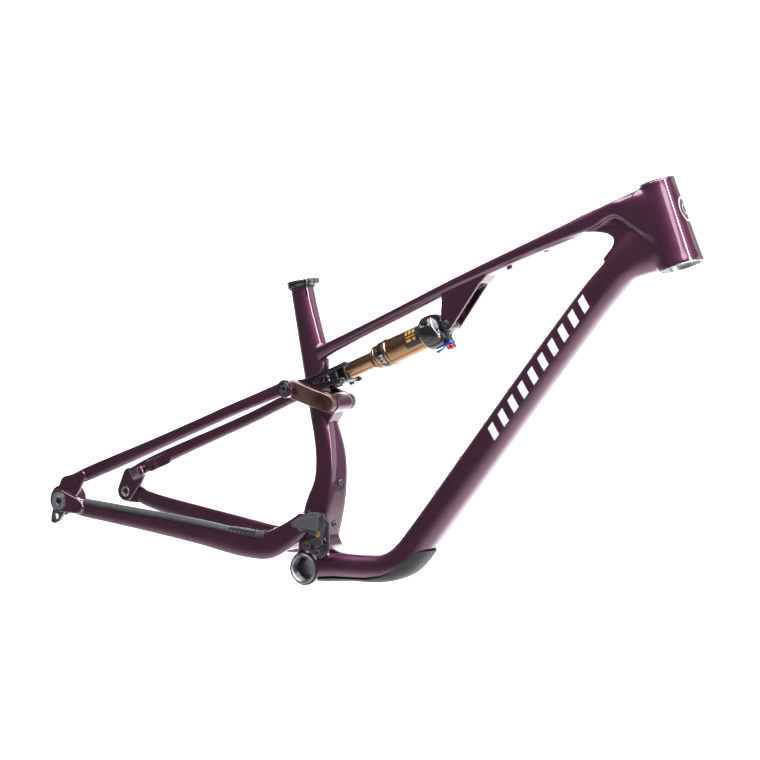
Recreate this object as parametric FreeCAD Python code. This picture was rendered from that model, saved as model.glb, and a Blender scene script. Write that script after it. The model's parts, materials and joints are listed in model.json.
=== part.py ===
import FreeCAD, Part
import math
import os

# Full-suspension mountain-bike frame with its rear shock, millimetres.
# The origin is the centre of the bottom bracket. +X is forward, +Y is the
# rider's left, +Z is up. The chain side is -Y.

V = FreeCAD.Vector
AXIS_X = V(1, 0, 0)
AXIS_Y = V(0, 1, 0)
AXIS_Z = V(0, 0, 1)
RIGHT = -1
LEFT = 1
SIDES = {"right": RIGHT, "left": LEFT}

# ---------------------------------------------------------------- pivots (x, z)
REAR_AXLE = (-435.0, 36.0)
MAIN_PIVOT = (-4.0, 68.0)
ROCKER_PIVOT = (14.5, 249.5)
STAY_PIVOT = (-50.0, 263.5)
SHOCK_EYE = (198.0, 388.5)
SHOCK_ANGLE = 28.2              # slope of the shock's line, degrees

# ---------------------------------------------------------------- driving sizes
HEAD_ANGLE = 65.7
HEAD_TOP = (499.0, 616.0)
HEAD_LENGTH = 118.0
HEAD_TOP_R = 25.2
HEAD_BOTTOM_R = 31.8
UPPER_SEAT_BORE_R = 22.0
LOWER_SEAT_BORE_R = 28.0
SEAT_INSERT_WALL = 1.6
UPPER_SEAT_DEPTH = 14.0
LOWER_SEAT_DEPTH = 16.0

SEAT_TUBE_ANGLE = 73.4
SEAT_TOP = (-67.5, 417.6)
SEAT_TUBE_R = 17.5
SEAT_ROUND_LENGTH = 184.0       # straight round stretch below the collar
SEATPOST_R = 15.45
SEATPOST_DEPTH = 130.0

SHELL_WIDTH = 73.0
SHELL_R = 22.5
SHELL_BORE_R = 17.4
SHELL_BODY_R = 25.5
SHELL_BODY_WIDTH = 64.0

HUB_SPACING = 148.0
AXLE_BORE_R = 6.05
STAY_PLATE = 5.5
STAY_GAP = 0.5
BOSS_THICKNESS = 9.0
BOSS_R = 18.0

BOTTLE_SPACING = 64.0
GAP = 0.5                       # side gap between neighbouring moving parts
RUN = 0.05                      # radial running clearance of a pin in a bearing

PIVOT_HOUSING_HALF = 29.5       # main pivot housing, half width
ROCKER_BOSS_HALF = 18.3         # boss for the rocker axle, half width
EAR_INNER = 10.3                # shock ears, inner face
EAR_OUTER = 15.3                # shock ears, outer face
YOKE_INNER = 18.5               # yoke arms straddle the seat tube
YOKE_OUTER = 24.0
ROCKER_REAR_INNER = 24.6
ROCKER_REAR_OUTER = 36.0
ROCKER_FRONT_OUTER = 31.0
STAY_EYE_INNER = 36.8
STAY_EYE_OUTER = 49.0

# ---------------------------------------------------------------- shock stations,
# measured from the shock eye towards the stay pivot
HEAD_START = 15.0
HEAD_END = 49.0
CAN_END = 117.0
RIDGE_START = 110.5
BAND_END = 128.0
SEAL_END = 137.0
CLAMP_START = 187.5
CROSSPIECE_START = 196.0
CROSSPIECE_END = 213.0
SHAFT_END = 203.0
YOKE_BOLT = 205.0
PISTON_START = 96.0
PISTON_END = 106.0
HEAD_R = 23.0
CAN_R = 19.0
CAN_WALL = 2.0
RIDGE_R = 20.6
BAND_R = 19.7
SEAL_R = 16.5
SHAFT_R = 12.5
CONTROL_STATION = 12.0          # the lever and knob stand below this station


# ================================================================ helpers
def point(xz, y=0.0):
    return V(xz[0], y, xz[1])


def unit(p, q):
    """Unit vector in the side plane from p to q, as (x, z)."""
    length = math.hypot(q[0] - p[0], q[1] - p[1])
    return ((q[0] - p[0]) / length, (q[1] - p[1]) / length)


def along(p, direction, distance):
    return (p[0] + direction[0] * distance, p[1] + direction[1] * distance)


def pin(xz, radius, y0, y1):
    """Cylinder across the frame, from y0 to y1."""
    low, high = min(y0, y1), max(y0, y1)
    return Part.makeCylinder(radius, high - low, point(xz, low), AXIS_Y)


def ring(xz, outer, inner, y0, y1):
    return pin(xz, outer, y0, y1).cut(pin(xz, inner, y0, y1))


def rod(start, direction, radius, length):
    """Cylinder from a 3-D point along a 3-D direction."""
    return Part.makeCylinder(radius, length, start, direction)


def cone(start, direction, r0, r1, length):
    if abs(r0 - r1) < 1e-6:
        return rod(start, direction, r0, length)
    return Part.makeCone(r0, r1, length, start, direction)


def fuse(shapes):
    body = shapes[0].multiFuse(shapes[1:]) if len(shapes) > 1 else shapes[0]
    return body.removeSplitter()


def section(centre, y, tilt, depth, width, power=2.6):
    """Closed superellipse across a tube whose path runs at tilt degrees."""
    normal = V(-math.sin(math.radians(tilt)), 0, math.cos(math.radians(tilt)))
    count = 20
    points = []
    for i in range(count):
        turn = 2 * math.pi * i / count
        c, s = math.cos(turn), math.sin(turn)
        u = math.copysign(abs(c) ** (2 / power), c) * depth / 2
        v = math.copysign(abs(s) ** (2 / power), s) * width / 2
        points.append(point(centre, y) + normal * u + AXIS_Y * v)
    curve = Part.BSplineCurve()
    curve.interpolate(points, PeriodicFlag=True)
    return Part.Wire([curve.toShape()])


def loft(sections, side=LEFT, straight=False):
    """Tube through sections (x, z, tilt, depth, width, y, power)."""
    wires = []
    for x, z, tilt, depth, width, y, power in sections:
        wires.append(section((x, z), y * side, tilt, depth, width, power))
    return Part.makeLoft(wires, True, straight, False, 3)


def plate_outline(circles):
    """Outline round a convex chain of circles (x, z, r)."""
    count = len(circles)
    area = 0.0
    for i in range(count):
        x0, z0, r0 = circles[i - 1]
        x1, z1, r1 = circles[i]
        area += x0 * z1 - x1 * z0
    if area < 0:
        circles = circles[::-1]
    normals = []
    for i in range(count):
        x0, z0, r0 = circles[i]
        x1, z1, r1 = circles[(i + 1) % count]
        length = math.hypot(x1 - x0, z1 - z0)
        ux, uz = (x1 - x0) / length, (z1 - z0) / length
        lean = (r0 - r1) / length
        out = math.sqrt(1 - lean * lean)
        normals.append((ux * lean + uz * out, uz * lean - ux * out))
    edges = []
    for i in range(count):
        x0, z0, r0 = circles[i]
        x1, z1, r1 = circles[(i + 1) % count]
        n = normals[i]
        before = normals[i - 1]
        start = V(x0 + r0 * n[0], 0, z0 + r0 * n[1])
        end = V(x1 + r1 * n[0], 0, z1 + r1 * n[1])
        if r0 > 0:
            first = math.atan2(before[1], before[0])
            sweep = (math.atan2(n[1], n[0]) - first) % (2 * math.pi)
            if sweep > 1.5 * math.pi and count > 2:
                raise ValueError("plate corner is not convex: %s" % (circles,))
            middle = first + sweep / 2
            arc_start = V(x0 + r0 * before[0], 0, z0 + r0 * before[1])
            arc_middle = V(x0 + r0 * math.cos(middle), 0, z0 + r0 * math.sin(middle))
            edges.append(Part.Arc(arc_start, arc_middle, start).toShape())
        edges.append(Part.LineSegment(start, end).toShape())
    return Part.Wire(edges)


def plate(circles, y0, y1):
    """Flat plate with rounded corners, from y0 to y1."""
    face = Part.Face(plate_outline(circles))
    face.translate(V(0, min(y0, y1), 0))
    return face.extrude(V(0, abs(y1 - y0), 0))


def socket_screw(start, direction, shank_r, shank_length, head_r, head_height, key):
    """Screw whose head stands at start; the shank runs against direction."""
    head = rod(start, direction, head_r, head_height)
    shank = rod(start, direction * -1, shank_r, shank_length)
    flats = []
    for i in range(6):
        turn = math.radians(60 * i)
        flats.append(V(key / math.sqrt(3) * math.cos(turn), key / math.sqrt(3) * math.sin(turn), 0))
    hexagon = Part.Face(Part.makePolygon(flats + [flats[0]]))
    recess = hexagon.extrude(V(0, 0, head_height))
    recess.Placement = FreeCAD.Placement(start + direction * (head_height * 0.4),
                                         FreeCAD.Rotation(AXIS_Z, direction))
    return head.fuse(shank).cut(recess)


def compound(solids):
    return Part.makeCompound(solids)


# ================================================================ shared directions
HEAD_UP = (-math.cos(math.radians(HEAD_ANGLE)), math.sin(math.radians(HEAD_ANGLE)))
HEAD_BOTTOM = along(HEAD_TOP, HEAD_UP, -HEAD_LENGTH)
SEAT_UP = (-math.cos(math.radians(SEAT_TUBE_ANGLE)), math.sin(math.radians(SEAT_TUBE_ANGLE)))
SHOCK_DOWN = (-math.cos(math.radians(SHOCK_ANGLE)), -math.sin(math.radians(SHOCK_ANGLE)))
SHOCK_DOWN_3D = V(SHOCK_DOWN[0], 0, SHOCK_DOWN[1])
SHOCK_BELOW_3D = V(-SHOCK_DOWN[1], 0, SHOCK_DOWN[0])
DOWN_TUBE_ANGLE = 57.6
DOWN_DIR = (math.cos(math.radians(DOWN_TUBE_ANGLE)), math.sin(math.radians(DOWN_TUBE_ANGLE)))
DOWN_FACE = (-DOWN_DIR[1], DOWN_DIR[0])
TOP_TUBE_ANGLE = 28.5
TOP_DIR = (math.cos(math.radians(TOP_TUBE_ANGLE)), math.sin(math.radians(TOP_TUBE_ANGLE)))


def shock_point(distance, rise=0.0):
    """Point on the shock's line, distance from its eye, rise to its upper side."""
    x, z = along(SHOCK_EYE, SHOCK_DOWN, distance)
    return (x + SHOCK_DOWN[1] * rise, z - SHOCK_DOWN[0] * rise)


def shock_box(start, end, half_height, corner):
    """Rounded rectangle on the shock's line between two stations, for plate()."""
    high = half_height - corner
    first, last = start + corner, end - corner
    places = [(first, -high), (first, high), (last, high), (last, -high)]
    return [shock_point(distance, rise) + (corner,) for distance, rise in places]


def shock_turned(start, end, radius, rise=0.0):
    """Round piece on the shock's line between two stations."""
    return rod(point(shock_point(start, rise)), SHOCK_DOWN_3D, radius, end - start)


# ================================================================ front triangle
BOSS_WEB = [(-8, 262, 0), (-8, 210, 0), (12, 214, 3), (20, 234, 6), (18, 254, 8)]
GUIDE_BOSSES = [(12.0, 37.0), (29.5, 30.5)]
GUIDE_PLATE_INNER = -38.5
DOWN_TUBE_BOLT_START = (200.5, 145.5)
SEAT_TUBE_BOLTS = [(29.5, 132.5), (25.5, 69.0)]
TOP_TUBE_BOLT_START = (284.5, 478.8)


def head_tube():
    up = V(HEAD_UP[0], 0, HEAD_UP[1])
    return cone(point(HEAD_BOTTOM), up, HEAD_BOTTOM_R, HEAD_TOP_R, HEAD_LENGTH)


def top_tube():
    return loft([
        (-40, 306, 30, 26, 33, 0, 3.0),
        (4, 332, 30, 19, 34, 0, 3.4),
        (62, 365, 29.5, 17, 34, 0, 3.6),
        (186, 436.5, 29, 17, 35, 0, 3.6),
        (312, 504.5, 28, 20, 38, 0, 3.6),
        (420, 560, 27, 27, 43, 0, 3.2),
        (506, 598, 25, 34, 47, 0, 2.8)])


DOWN_TUBE = [
    (2, 1, 8, 42, 63, 0, 2.8),
    (55, 11.5, 10, 42, 62, 0, 2.8),
    (103, 18, 11, 41, 58, 0, 2.8),
    (129, 23.5, 24, 41, 55, 0, 2.8),
    (150, 34, 42, 44, 52, 0, 2.8),
    (166, 50, 55, 46, 48, 0, 2.8),
    (182, 73.5, 57.6, 46, 45, 0, 2.8),
    (266, 205, 57.6, 47, 41, 0, 2.8),
    (352, 340, 57.6, 47, 41, 0, 2.8),
    (430, 462, 57, 51, 43, 0, 2.7),
    (481, 528, 46, 68, 46, 0, 2.6),
    (523, 554, 26, 80, 47, 0, 2.6)]
DOWN_TUBE_BEND = 7              # the lower bend ends at this section
DOWN_TUBE_FLARE = 10            # the flare into the head tube starts here


def down_tube():
    bend = loft(DOWN_TUBE[:DOWN_TUBE_BEND])
    straight = loft(DOWN_TUBE[DOWN_TUBE_BEND - 1:DOWN_TUBE_FLARE], straight=True)
    flare = loft(DOWN_TUBE[DOWN_TUBE_FLARE - 1:])
    return fuse([bend, straight, flare])


def seat_tube():
    """Round upper tube for the seatpost, and a broader hollow bend below it."""
    down = V(-SEAT_UP[0], 0, -SEAT_UP[1])
    upper = rod(point(SEAT_TOP), down, SEAT_TUBE_R, SEAT_ROUND_LENGTH)
    first = along(SEAT_TOP, SEAT_UP, 24 - SEAT_ROUND_LENGTH)
    second = along(SEAT_TOP, SEAT_UP, -8 - SEAT_ROUND_LENGTH)
    lower = loft([
        first + (106.6, 35.8, 35.8, 0, 2.0),
        second + (106.6, 36.2, 36.2, 0, 2.05),
        (0, 202, 106, 35.5, 41, 0, 2.4),
        (10, 166, 100, 35, 46, 0, 2.6),
        (12, 132, 90, 37, 50, 0, 2.8),
        (7, 100, 82, 45, 57, 0, 3.0),
        (2, 68, 86, 48, 58, 0, 3.2),
        (0, 35, 90, 46, 58, 0, 3.2),
        (0, 2, 90, 42, 58, 0, 3.2)])
    return upper.fuse(lower)


def head_gusset():
    """Web that closes the corner between the top and down tubes."""
    return plate([(425, 543, 3), (431, 505, 3), (450, 490, 6), (508, 530, 8), (500, 592, 8), (440, 562, 6)],
                 -17, 17)


def shock_ears():
    """Two ears hang from the top tube and take the shock's front bolt."""
    solids = []
    for side in (RIGHT, LEFT):
        solids.append(plate([(SHOCK_EYE[0], SHOCK_EYE[1], 9.5), (251, 468, 4), (191, 430, 5)],
                            side * EAR_INNER, side * EAR_OUTER))
    solids.append(plate([(194, 428, 5), (246, 457, 4), (258, 474, 5), (190, 436, 5)],
                        -EAR_OUTER, EAR_OUTER))
    return solids


def bolt_places():
    """Place and outward direction of every bottle and accessory bolt."""
    places = {"bottle": [], "top_tube": []}
    for i in range(5):
        x, z = along(DOWN_TUBE_BOLT_START, DOWN_DIR, i * BOTTLE_SPACING)
        places["bottle"].append((V(x, 0, z), V(DOWN_FACE[0], 0, DOWN_FACE[1])))
    for x, z in SEAT_TUBE_BOLTS:
        places["bottle"].append((V(x, 0, z), AXIS_X))
    for i in range(2):
        x, z = along(TOP_TUBE_BOLT_START, TOP_DIR, i * BOTTLE_SPACING)
        places["top_tube"].append((V(x, 0, z), V(TOP_DIR[1], 0, -TOP_DIR[0])))
    return places


BOLT_SHANK_R = 2.5
BOLT_SHANK = 12.0
MAIN_BEARING_R = 14.0
MAIN_AXLE_R = 8.0
MAIN_BEARING_WIDTH = 8.0
ROCKER_BEARING_R = 11.0
ROCKER_AXLE_R = 7.5
ROCKER_BEARING_WIDTH = 6.0
EAR_BOLT_R = 4.0


def bearing_seats(xz, half_width, bearing_r, depth, through_r):
    """Cutter for a through hole with a bearing seat at each end."""
    cutters = [pin(xz, through_r, -half_width - 1, half_width + 1)]
    for side in (RIGHT, LEFT):
        cutters.append(pin(xz, bearing_r, side * (half_width - depth), side * (half_width + 20)))
    return cutters


def front_triangle():
    solids = [seat_tube(), down_tube(), top_tube(), head_tube(), head_gusset()]
    solids.append(pin((0, 0), SHELL_BODY_R, -SHELL_BODY_WIDTH / 2, SHELL_BODY_WIDTH / 2))
    solids.append(pin(MAIN_PIVOT, 17.5, -PIVOT_HOUSING_HALF, PIVOT_HOUSING_HALF))
    solids.append(pin(ROCKER_PIVOT, 14.0, -ROCKER_BOSS_HALF, ROCKER_BOSS_HALF))
    solids.append(plate(BOSS_WEB, -13, 13))
    solids += shock_ears()
    for boss in GUIDE_BOSSES:
        solids.append(pin(boss, 5.5, -18, GUIDE_PLATE_INNER))
    body = solids[0].multiFuse(solids[1:])

    up = V(HEAD_UP[0], 0, HEAD_UP[1])
    cutters = [cone(point(HEAD_BOTTOM) - up, up, 25.0, 20.0, HEAD_LENGTH + 2)]
    cutters.append(rod(point(HEAD_BOTTOM) - up, up, LOWER_SEAT_BORE_R + SEAT_INSERT_WALL,
                       LOWER_SEAT_DEPTH + 1))
    cutters.append(rod(point(HEAD_TOP) + up, up * -1, UPPER_SEAT_BORE_R + SEAT_INSERT_WALL,
                       UPPER_SEAT_DEPTH + 1))
    seat_up = V(SEAT_UP[0], 0, SEAT_UP[1])
    cutters.append(rod(point(SEAT_TOP) + seat_up, seat_up * -1, SEATPOST_R, SEATPOST_DEPTH + 1))
    cutters.append(seat_slot())
    cutters.append(pin((0, 0), SHELL_R, -SHELL_WIDTH, SHELL_WIDTH))
    cutters += bearing_seats(MAIN_PIVOT, PIVOT_HOUSING_HALF, MAIN_BEARING_R,
                             MAIN_BEARING_WIDTH, 11.0)
    cutters += bearing_seats(ROCKER_PIVOT, ROCKER_BOSS_HALF, ROCKER_BEARING_R,
                             ROCKER_BEARING_WIDTH, 9.0)
    cutters.append(pin(SHOCK_EYE, EAR_BOLT_R, -40, 40))
    for places in bolt_places().values():
        for start, direction in places:
            cutters.append(rod(start + direction * 6, direction * -1, BOLT_SHANK_R,
                               BOLT_SHANK + 6))
    for boss in GUIDE_BOSSES:
        cutters.append(pin(boss, BOLT_SHANK_R, -26, -45))
    return body.cut(cutters)


def seat_slot():
    """Narrow slot down the seat tube's front, so that the collar can clamp."""
    slot = Part.makeBox(20, 3, 26, V(8, -1.5, -22))
    slot = slot.fuse(Part.makeCylinder(2.2, 20, V(8, 0, -22), AXIS_X))
    turned = slot.copy()
    turned.rotate(V(0, 0, 0), AXIS_Z, -39)
    turned.rotate(V(0, 0, 0), AXIS_Y, -(90 - SEAT_TUBE_ANGLE))
    turned.translate(point(SEAT_TOP))
    return turned


# ================================================================ frame hardware
def headset_seat(top):
    """Alloy ring bonded into the head tube; the headset presses into it."""
    up = V(HEAD_UP[0], 0, HEAD_UP[1])
    bore = UPPER_SEAT_BORE_R if top else LOWER_SEAT_BORE_R
    depth = UPPER_SEAT_DEPTH if top else LOWER_SEAT_DEPTH
    start = point(HEAD_TOP) if top else point(HEAD_BOTTOM)
    inward = up * -1 if top else up
    lip = 1.5
    body = rod(start, inward, bore + SEAT_INSERT_WALL, depth)
    body = body.fuse(rod(start - inward * lip, inward, bore + SEAT_INSERT_WALL + 1.2, lip))
    return body.cut(rod(start - inward * (lip + 1), inward, bore, depth + lip + 2))


def bottom_bracket_sleeve():
    body = pin((0, 0), SHELL_R, -SHELL_WIDTH / 2, SHELL_WIDTH / 2)
    body = body.cut(pin((0, 0), SHELL_BORE_R, -SHELL_WIDTH, SHELL_WIDTH))
    chamfer = 2.0
    for side in (RIGHT, LEFT):
        face = V(0, side * SHELL_WIDTH / 2, 0)
        body = body.cut(Part.makeCone(SHELL_BORE_R + chamfer, SHELL_BORE_R, chamfer, face,
                                      AXIS_Y * -side))
    return body


COLLAR_TURN = -19.0


def place_on_seat_tube(shape):
    """Turn a shape made about +Z at the origin onto the seat tube's top."""
    turned = shape.copy()
    turned.rotate(V(0, 0, 0), AXIS_Z, COLLAR_TURN)
    turned.rotate(V(0, 0, 0), AXIS_Y, -(90 - SEAT_TUBE_ANGLE))
    turned.translate(point(SEAT_TOP))
    return turned


def seat_collar():
    """Split ring with a stepped lower flange and two ears for its bolt."""
    body = Part.makeCylinder(22.0, 9.6, V(0, 0, -5.6), AXIS_Z)
    body = body.fuse(Part.makeCylinder(20.4, 3.0, V(0, 0, -8.6), AXIS_Z))
    body = body.fuse(Part.makeBox(15, 17, 9.6, V(17, -8.5, -5.6)))
    body = body.cut(Part.makeCylinder(SEAT_TUBE_R, 40, V(0, 0, -39.9), AXIS_Z))
    body = body.cut(Part.makeCylinder(SEATPOST_R + 0.4, 40, V(0, 0, -10), AXIS_Z))
    body = body.cut(Part.makeBox(30, 2, 40, V(10, -1, -20)))
    body = body.cut(Part.makeCylinder(2.5, 40, V(25.5, -20, -0.8), AXIS_Y))
    return place_on_seat_tube(body)


def seat_collar_bolt():
    screw = socket_screw(V(25.5, -8.5, -0.8), AXIS_Y * -1, 2.5, 17.0, 4.3, 4.0, 4.0)
    barrel = Part.makeCylinder(4.2, 4, V(25.5, 8.5, -0.8), AXIS_Y)
    return place_on_seat_tube(screw.fuse(barrel))


def bolt_group(name):
    """Identical button-head screws, one for each threaded place."""
    screws = []
    for start, direction in bolt_places()[name]:
        screws.append(socket_screw(start, direction, BOLT_SHANK_R, BOLT_SHANK - 1, 4.5, 3.0, 3.0))
    return compound(screws)


def down_tube_protector():
    """Moulded guard under the down tube's lower bend."""
    outer = loft([
        (14, 4, 10, 47, 66, 0, 2.8),
        (55, 11.5, 10, 47, 66, 0, 2.8),
        (103, 18, 11, 46, 62, 0, 2.8),
        (129, 23.5, 24, 46, 59, 0, 2.8),
        (150, 34, 42, 49, 56, 0, 2.8),
        (166, 50, 55, 51, 52, 0, 2.8),
        (182, 73.5, 57.6, 51, 49, 0, 2.8),
        (192, 89, 57.6, 47, 46, 0, 2.8)])
    edge = [(226, 62), (216, 63), (190, 57), (178, 48), (162, 31), (146, 18), (129, 9), (104, 1),
            (47, -7), (16, -14), (16, -40), (240, -40)]
    keep = plate([place + (0,) for place in edge], -40, 40)
    shell_room = pin((0, 0), SHELL_BODY_R, -60, 60)
    return outer.common(keep).cut([down_tube(), shell_room])


def main_pivot_bearings():
    solids = []
    for side in (RIGHT, LEFT):
        solids.append(ring(MAIN_PIVOT, MAIN_BEARING_R, MAIN_AXLE_R + RUN,
                           side * (PIVOT_HOUSING_HALF - MAIN_BEARING_WIDTH),
                           side * PIVOT_HOUSING_HALF))
    return compound(solids)


def rocker_pivot_bearings():
    solids = []
    for side in (RIGHT, LEFT):
        solids.append(ring(ROCKER_PIVOT, ROCKER_BEARING_R, ROCKER_AXLE_R + RUN,
                           side * (ROCKER_BOSS_HALF - ROCKER_BEARING_WIDTH),
                           side * ROCKER_BOSS_HALF))
    return compound(solids)


def shock_mount_bolt():
    screw = socket_screw(point(SHOCK_EYE, -EAR_OUTER), AXIS_Y * -1, EAR_BOLT_R,
                         2 * EAR_OUTER + 3, 6.5, 3.0, 5.0)
    return screw.fuse(pin(SHOCK_EYE, 6.5, EAR_OUTER, EAR_OUTER + 4))


# ================================================================ chain guide
GUIDE_PLATE_THICK = 3.0
CAGE_BOLT = (32.0, 60.0)


def chain_guide_backplate():
    outer = GUIDE_PLATE_INNER - GUIDE_PLATE_THICK
    body = plate([(4, 36.5, 5), (34, 27, 5), (44, 38, 3.5), (41.5, 76, 3), (33, 80, 3), (18, 50, 0)],
                 outer, GUIDE_PLATE_INNER)
    body = body.cut(plate([(36, 46, 1.6), (40, 46, 1.6), (39.5, 52, 1.6), (36, 52, 1.6)], -60, 0))
    body = body.cut(plate([(5, 37.5, 1.6), (21, 33.5, 1.6), (20, 37, 1.6)], -60, 0))
    for hole in GUIDE_BOSSES + [CAGE_BOLT]:
        body = body.cut(pin(hole, BOLT_SHANK_R, -60, 0))
    return body


def chain_guide_cage():
    """U-shaped cage over the chainring's top, with a foot for its bolt."""
    inner_plate = plate([(-4, 68, 4), (32, 60, 6), (36, 88, 3), (20, 87, 3), (8, 80.5, 4)],
                        -48.5, -46.5)
    outer_plate = plate([(-6, 68.5, 4.2), (31, 70, 4), (34, 88, 3), (20, 87, 3), (8, 80.5, 4)],
                        -59.5, -57.0)
    bridge = plate([(20, 88.6, 1.4), (35, 89.6, 1.4), (36, 86, 1.4), (21, 85, 1.4)], -59.5, -46.5)
    foot = plate([(32, 60, 6), (36, 74, 4), (32, 74, 4)],
                 GUIDE_PLATE_INNER - GUIDE_PLATE_THICK, -46.5)
    return fuse([inner_plate, outer_plate, bridge, foot]).cut(pin(CAGE_BOLT, 2.5, -80, 0))


def chain_guide_bolts():
    face = GUIDE_PLATE_INNER - GUIDE_PLATE_THICK
    screws = []
    for boss in GUIDE_BOSSES:
        screws.append(socket_screw(point(boss, face), AXIS_Y * -1, BOLT_SHANK_R, 12, 4.2, 2.5, 3.0))
    return compound(screws)


def chain_guide_cage_bolt():
    return socket_screw(point(CAGE_BOLT, -48.5), AXIS_Y * -1, 2.5, 9.0, 4.4, 2.5, 3.0)


# ================================================================ chainstay
BOSS_INNER = HUB_SPACING / 2 + STAY_PLATE + STAY_GAP
BOSS_OUTER = BOSS_INNER + BOSS_THICKNESS
DROPOUT_BEARING_R = 15.0
SLEEVE_R = 10.0
CHAINSTAY_ARM = [
    (-2, 69.5, 218, 31, 11.4, 36.2, 3.6),
    (-28, 47, 218, 36, 12.4, 37.4, 3.4),
    (-60, 26, 200, 41, 15, 40.4, 3.2),
    (-100, 20.5, 181, 39, 17, 43.5, 3.0),
    (-185, 24, 179, 35, 17, 48.5, 3.0),
    (-270, 27, 179, 31, 16, 59, 3.0),
    (-345, 29, 179, 28, 14, 69.5, 3.0),
    (-392, 31, 178, 26, 11.5, 80, 3.0),
    (-410, 33, 177, 24, 9.6, 83.6, 3.0)]
BRIDGE = [(-50, 27, 11), (-38, 44, 8), (-50, 46, 8)]
AXLE_BOSS = [REAR_AXLE + (BOSS_R,), (-398, 33, 11.5)]


def chainstay():
    """One-piece swingarm: two stays joined by a bridge behind the seat tube."""
    solids = []
    for side in (RIGHT, LEFT):
        solids.append(loft(CHAINSTAY_ARM, side))
        solids.append(pin(MAIN_PIVOT, 15.5, side * (PIVOT_HOUSING_HALF + GAP), side * 41.5))
        solids.append(plate(AXLE_BOSS, side * BOSS_INNER, side * BOSS_OUTER))
    solids.append(plate(BRIDGE, -38, 38))
    body = solids[0].multiFuse(solids[1:])
    cutters = [pin(MAIN_PIVOT, 19.5, -PIVOT_HOUSING_HALF - GAP, PIVOT_HOUSING_HALF + GAP)]
    cutters.append(pin(MAIN_PIVOT, MAIN_AXLE_R, -60, 60))
    for side in (RIGHT, LEFT):
        cutters.append(pin(MAIN_PIVOT, 11.5, side * 39, side * 60))
        cutters.append(pin(REAR_AXLE, DROPOUT_BEARING_R, side * BOSS_INNER, side * 120))
        cutters.append(pin(REAR_AXLE, 24.0, side * 50, side * BOSS_INNER))
    return body.cut(cutters)


def main_pivot_axle():
    return pin(MAIN_PIVOT, MAIN_AXLE_R, -39, 39)


def main_pivot_caps():
    caps = []
    for side in (RIGHT, LEFT):
        caps.append(pivot_cap(MAIN_PIVOT, side, 39, 42.0, 11.5, 8.0))
    return compound(caps)


def pivot_cap(xz, side, y0, y1, radius, key):
    """Round pivot cap with a hexagon socket in its outer face."""
    body = pin(xz, radius, side * y0, side * y1)
    corners = []
    for i in range(7):
        turn = math.radians(60 * i)
        corners.append(V(xz[0] + key / math.sqrt(3) * math.cos(turn), side * (y1 - 1.8),
                         xz[1] + key / math.sqrt(3) * math.sin(turn)))
    recess = Part.Face(Part.makePolygon(corners)).extrude(V(0, side * 5, 0))
    return body.cut(recess)


def dropout_bearings():
    solids = []
    for side in (RIGHT, LEFT):
        solids.append(ring(REAR_AXLE, DROPOUT_BEARING_R, SLEEVE_R + RUN,
                           side * BOSS_INNER, side * (BOSS_OUTER - 1.5)))
    return compound(solids)


def chainstay_protector():
    """Ribbed rubber guard along the top and inner side of the drive-side stay."""
    outer = []
    for x, z, tilt, depth, width, y, power in CHAINSTAY_ARM[2:8]:
        outer.append((x, z, tilt, depth + 5, width + 4, y - 0.5, power))
    skin = loft(outer, RIGHT)
    core = loft(CHAINSTAY_ARM[1:], RIGHT)
    keep = plate([(-66, 36, 0), (-66, 60, 0), (-388, 60, 0), (-388, 38, 0), (-345, 37.5, 0),
                  (-270, 37.5, 0), (-185, 37, 0), (-100, 35.5, 0)], -95, -30)
    return skin.common(keep).cut(core)


HANGER_HOLE = (-439.0, 10.5)
HANGER_THREAD_R = 5.0


def derailleur_hanger():
    """Hanger bolted under the drive-side axle boss, with its threaded eye."""
    body = plate([(HANGER_HOLE[0], HANGER_HOLE[1], 9.0), (-427, 21, 4), (-443, 21, 4)], -87, -81)
    body = body.fuse(plate([(-446, 2, 2.5), (-441, 2, 3), (-436, 8, 3), (-447, 10, 1.5)], -87, -81))
    body = body.cut(plate(AXLE_BOSS, -100, 0))
    return body.cut(pin(HANGER_HOLE, HANGER_THREAD_R, -100, 0))


# ================================================================ seatstays
SEATSTAY = [
    (-56, 262.3, 208, 20, 11.5, 43.2, 3.2),
    (-90, 244.5, 208, 18.5, 12.5, 48, 3.2),
    (-132, 222, 208, 18, 14.5, 55.5, 3.2),
    (-182, 194.5, 207.6, 18, 16, 61, 3.2),
    (-240, 163.8, 207.5, 18.5, 16.5, 62.5, 3.2),
    (-300, 132.5, 207.5, 20, 16, 63.5, 3.2),
    (-350, 106.5, 207.5, 21.5, 14.5, 66.5, 3.2),
    (-394, 83.5, 208, 21, 12, 71, 3.2),
    (-424, 66.5, 212, 19, 8, 75.6, 3.2)]
STAY_FOOT = [(-435, 36, 16), (-412, 60, 10), (-400, 80, 6.5), (-429, 62, 13.5)]
BRAKE_HOLES = [(-392.0, 73.0), (-358.0, 91.0)]
BRAKE_Y = 62.0


def brake_direction():
    tilt = math.radians(27.5)
    return V(math.sin(tilt), 0, -math.cos(tilt))


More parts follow.
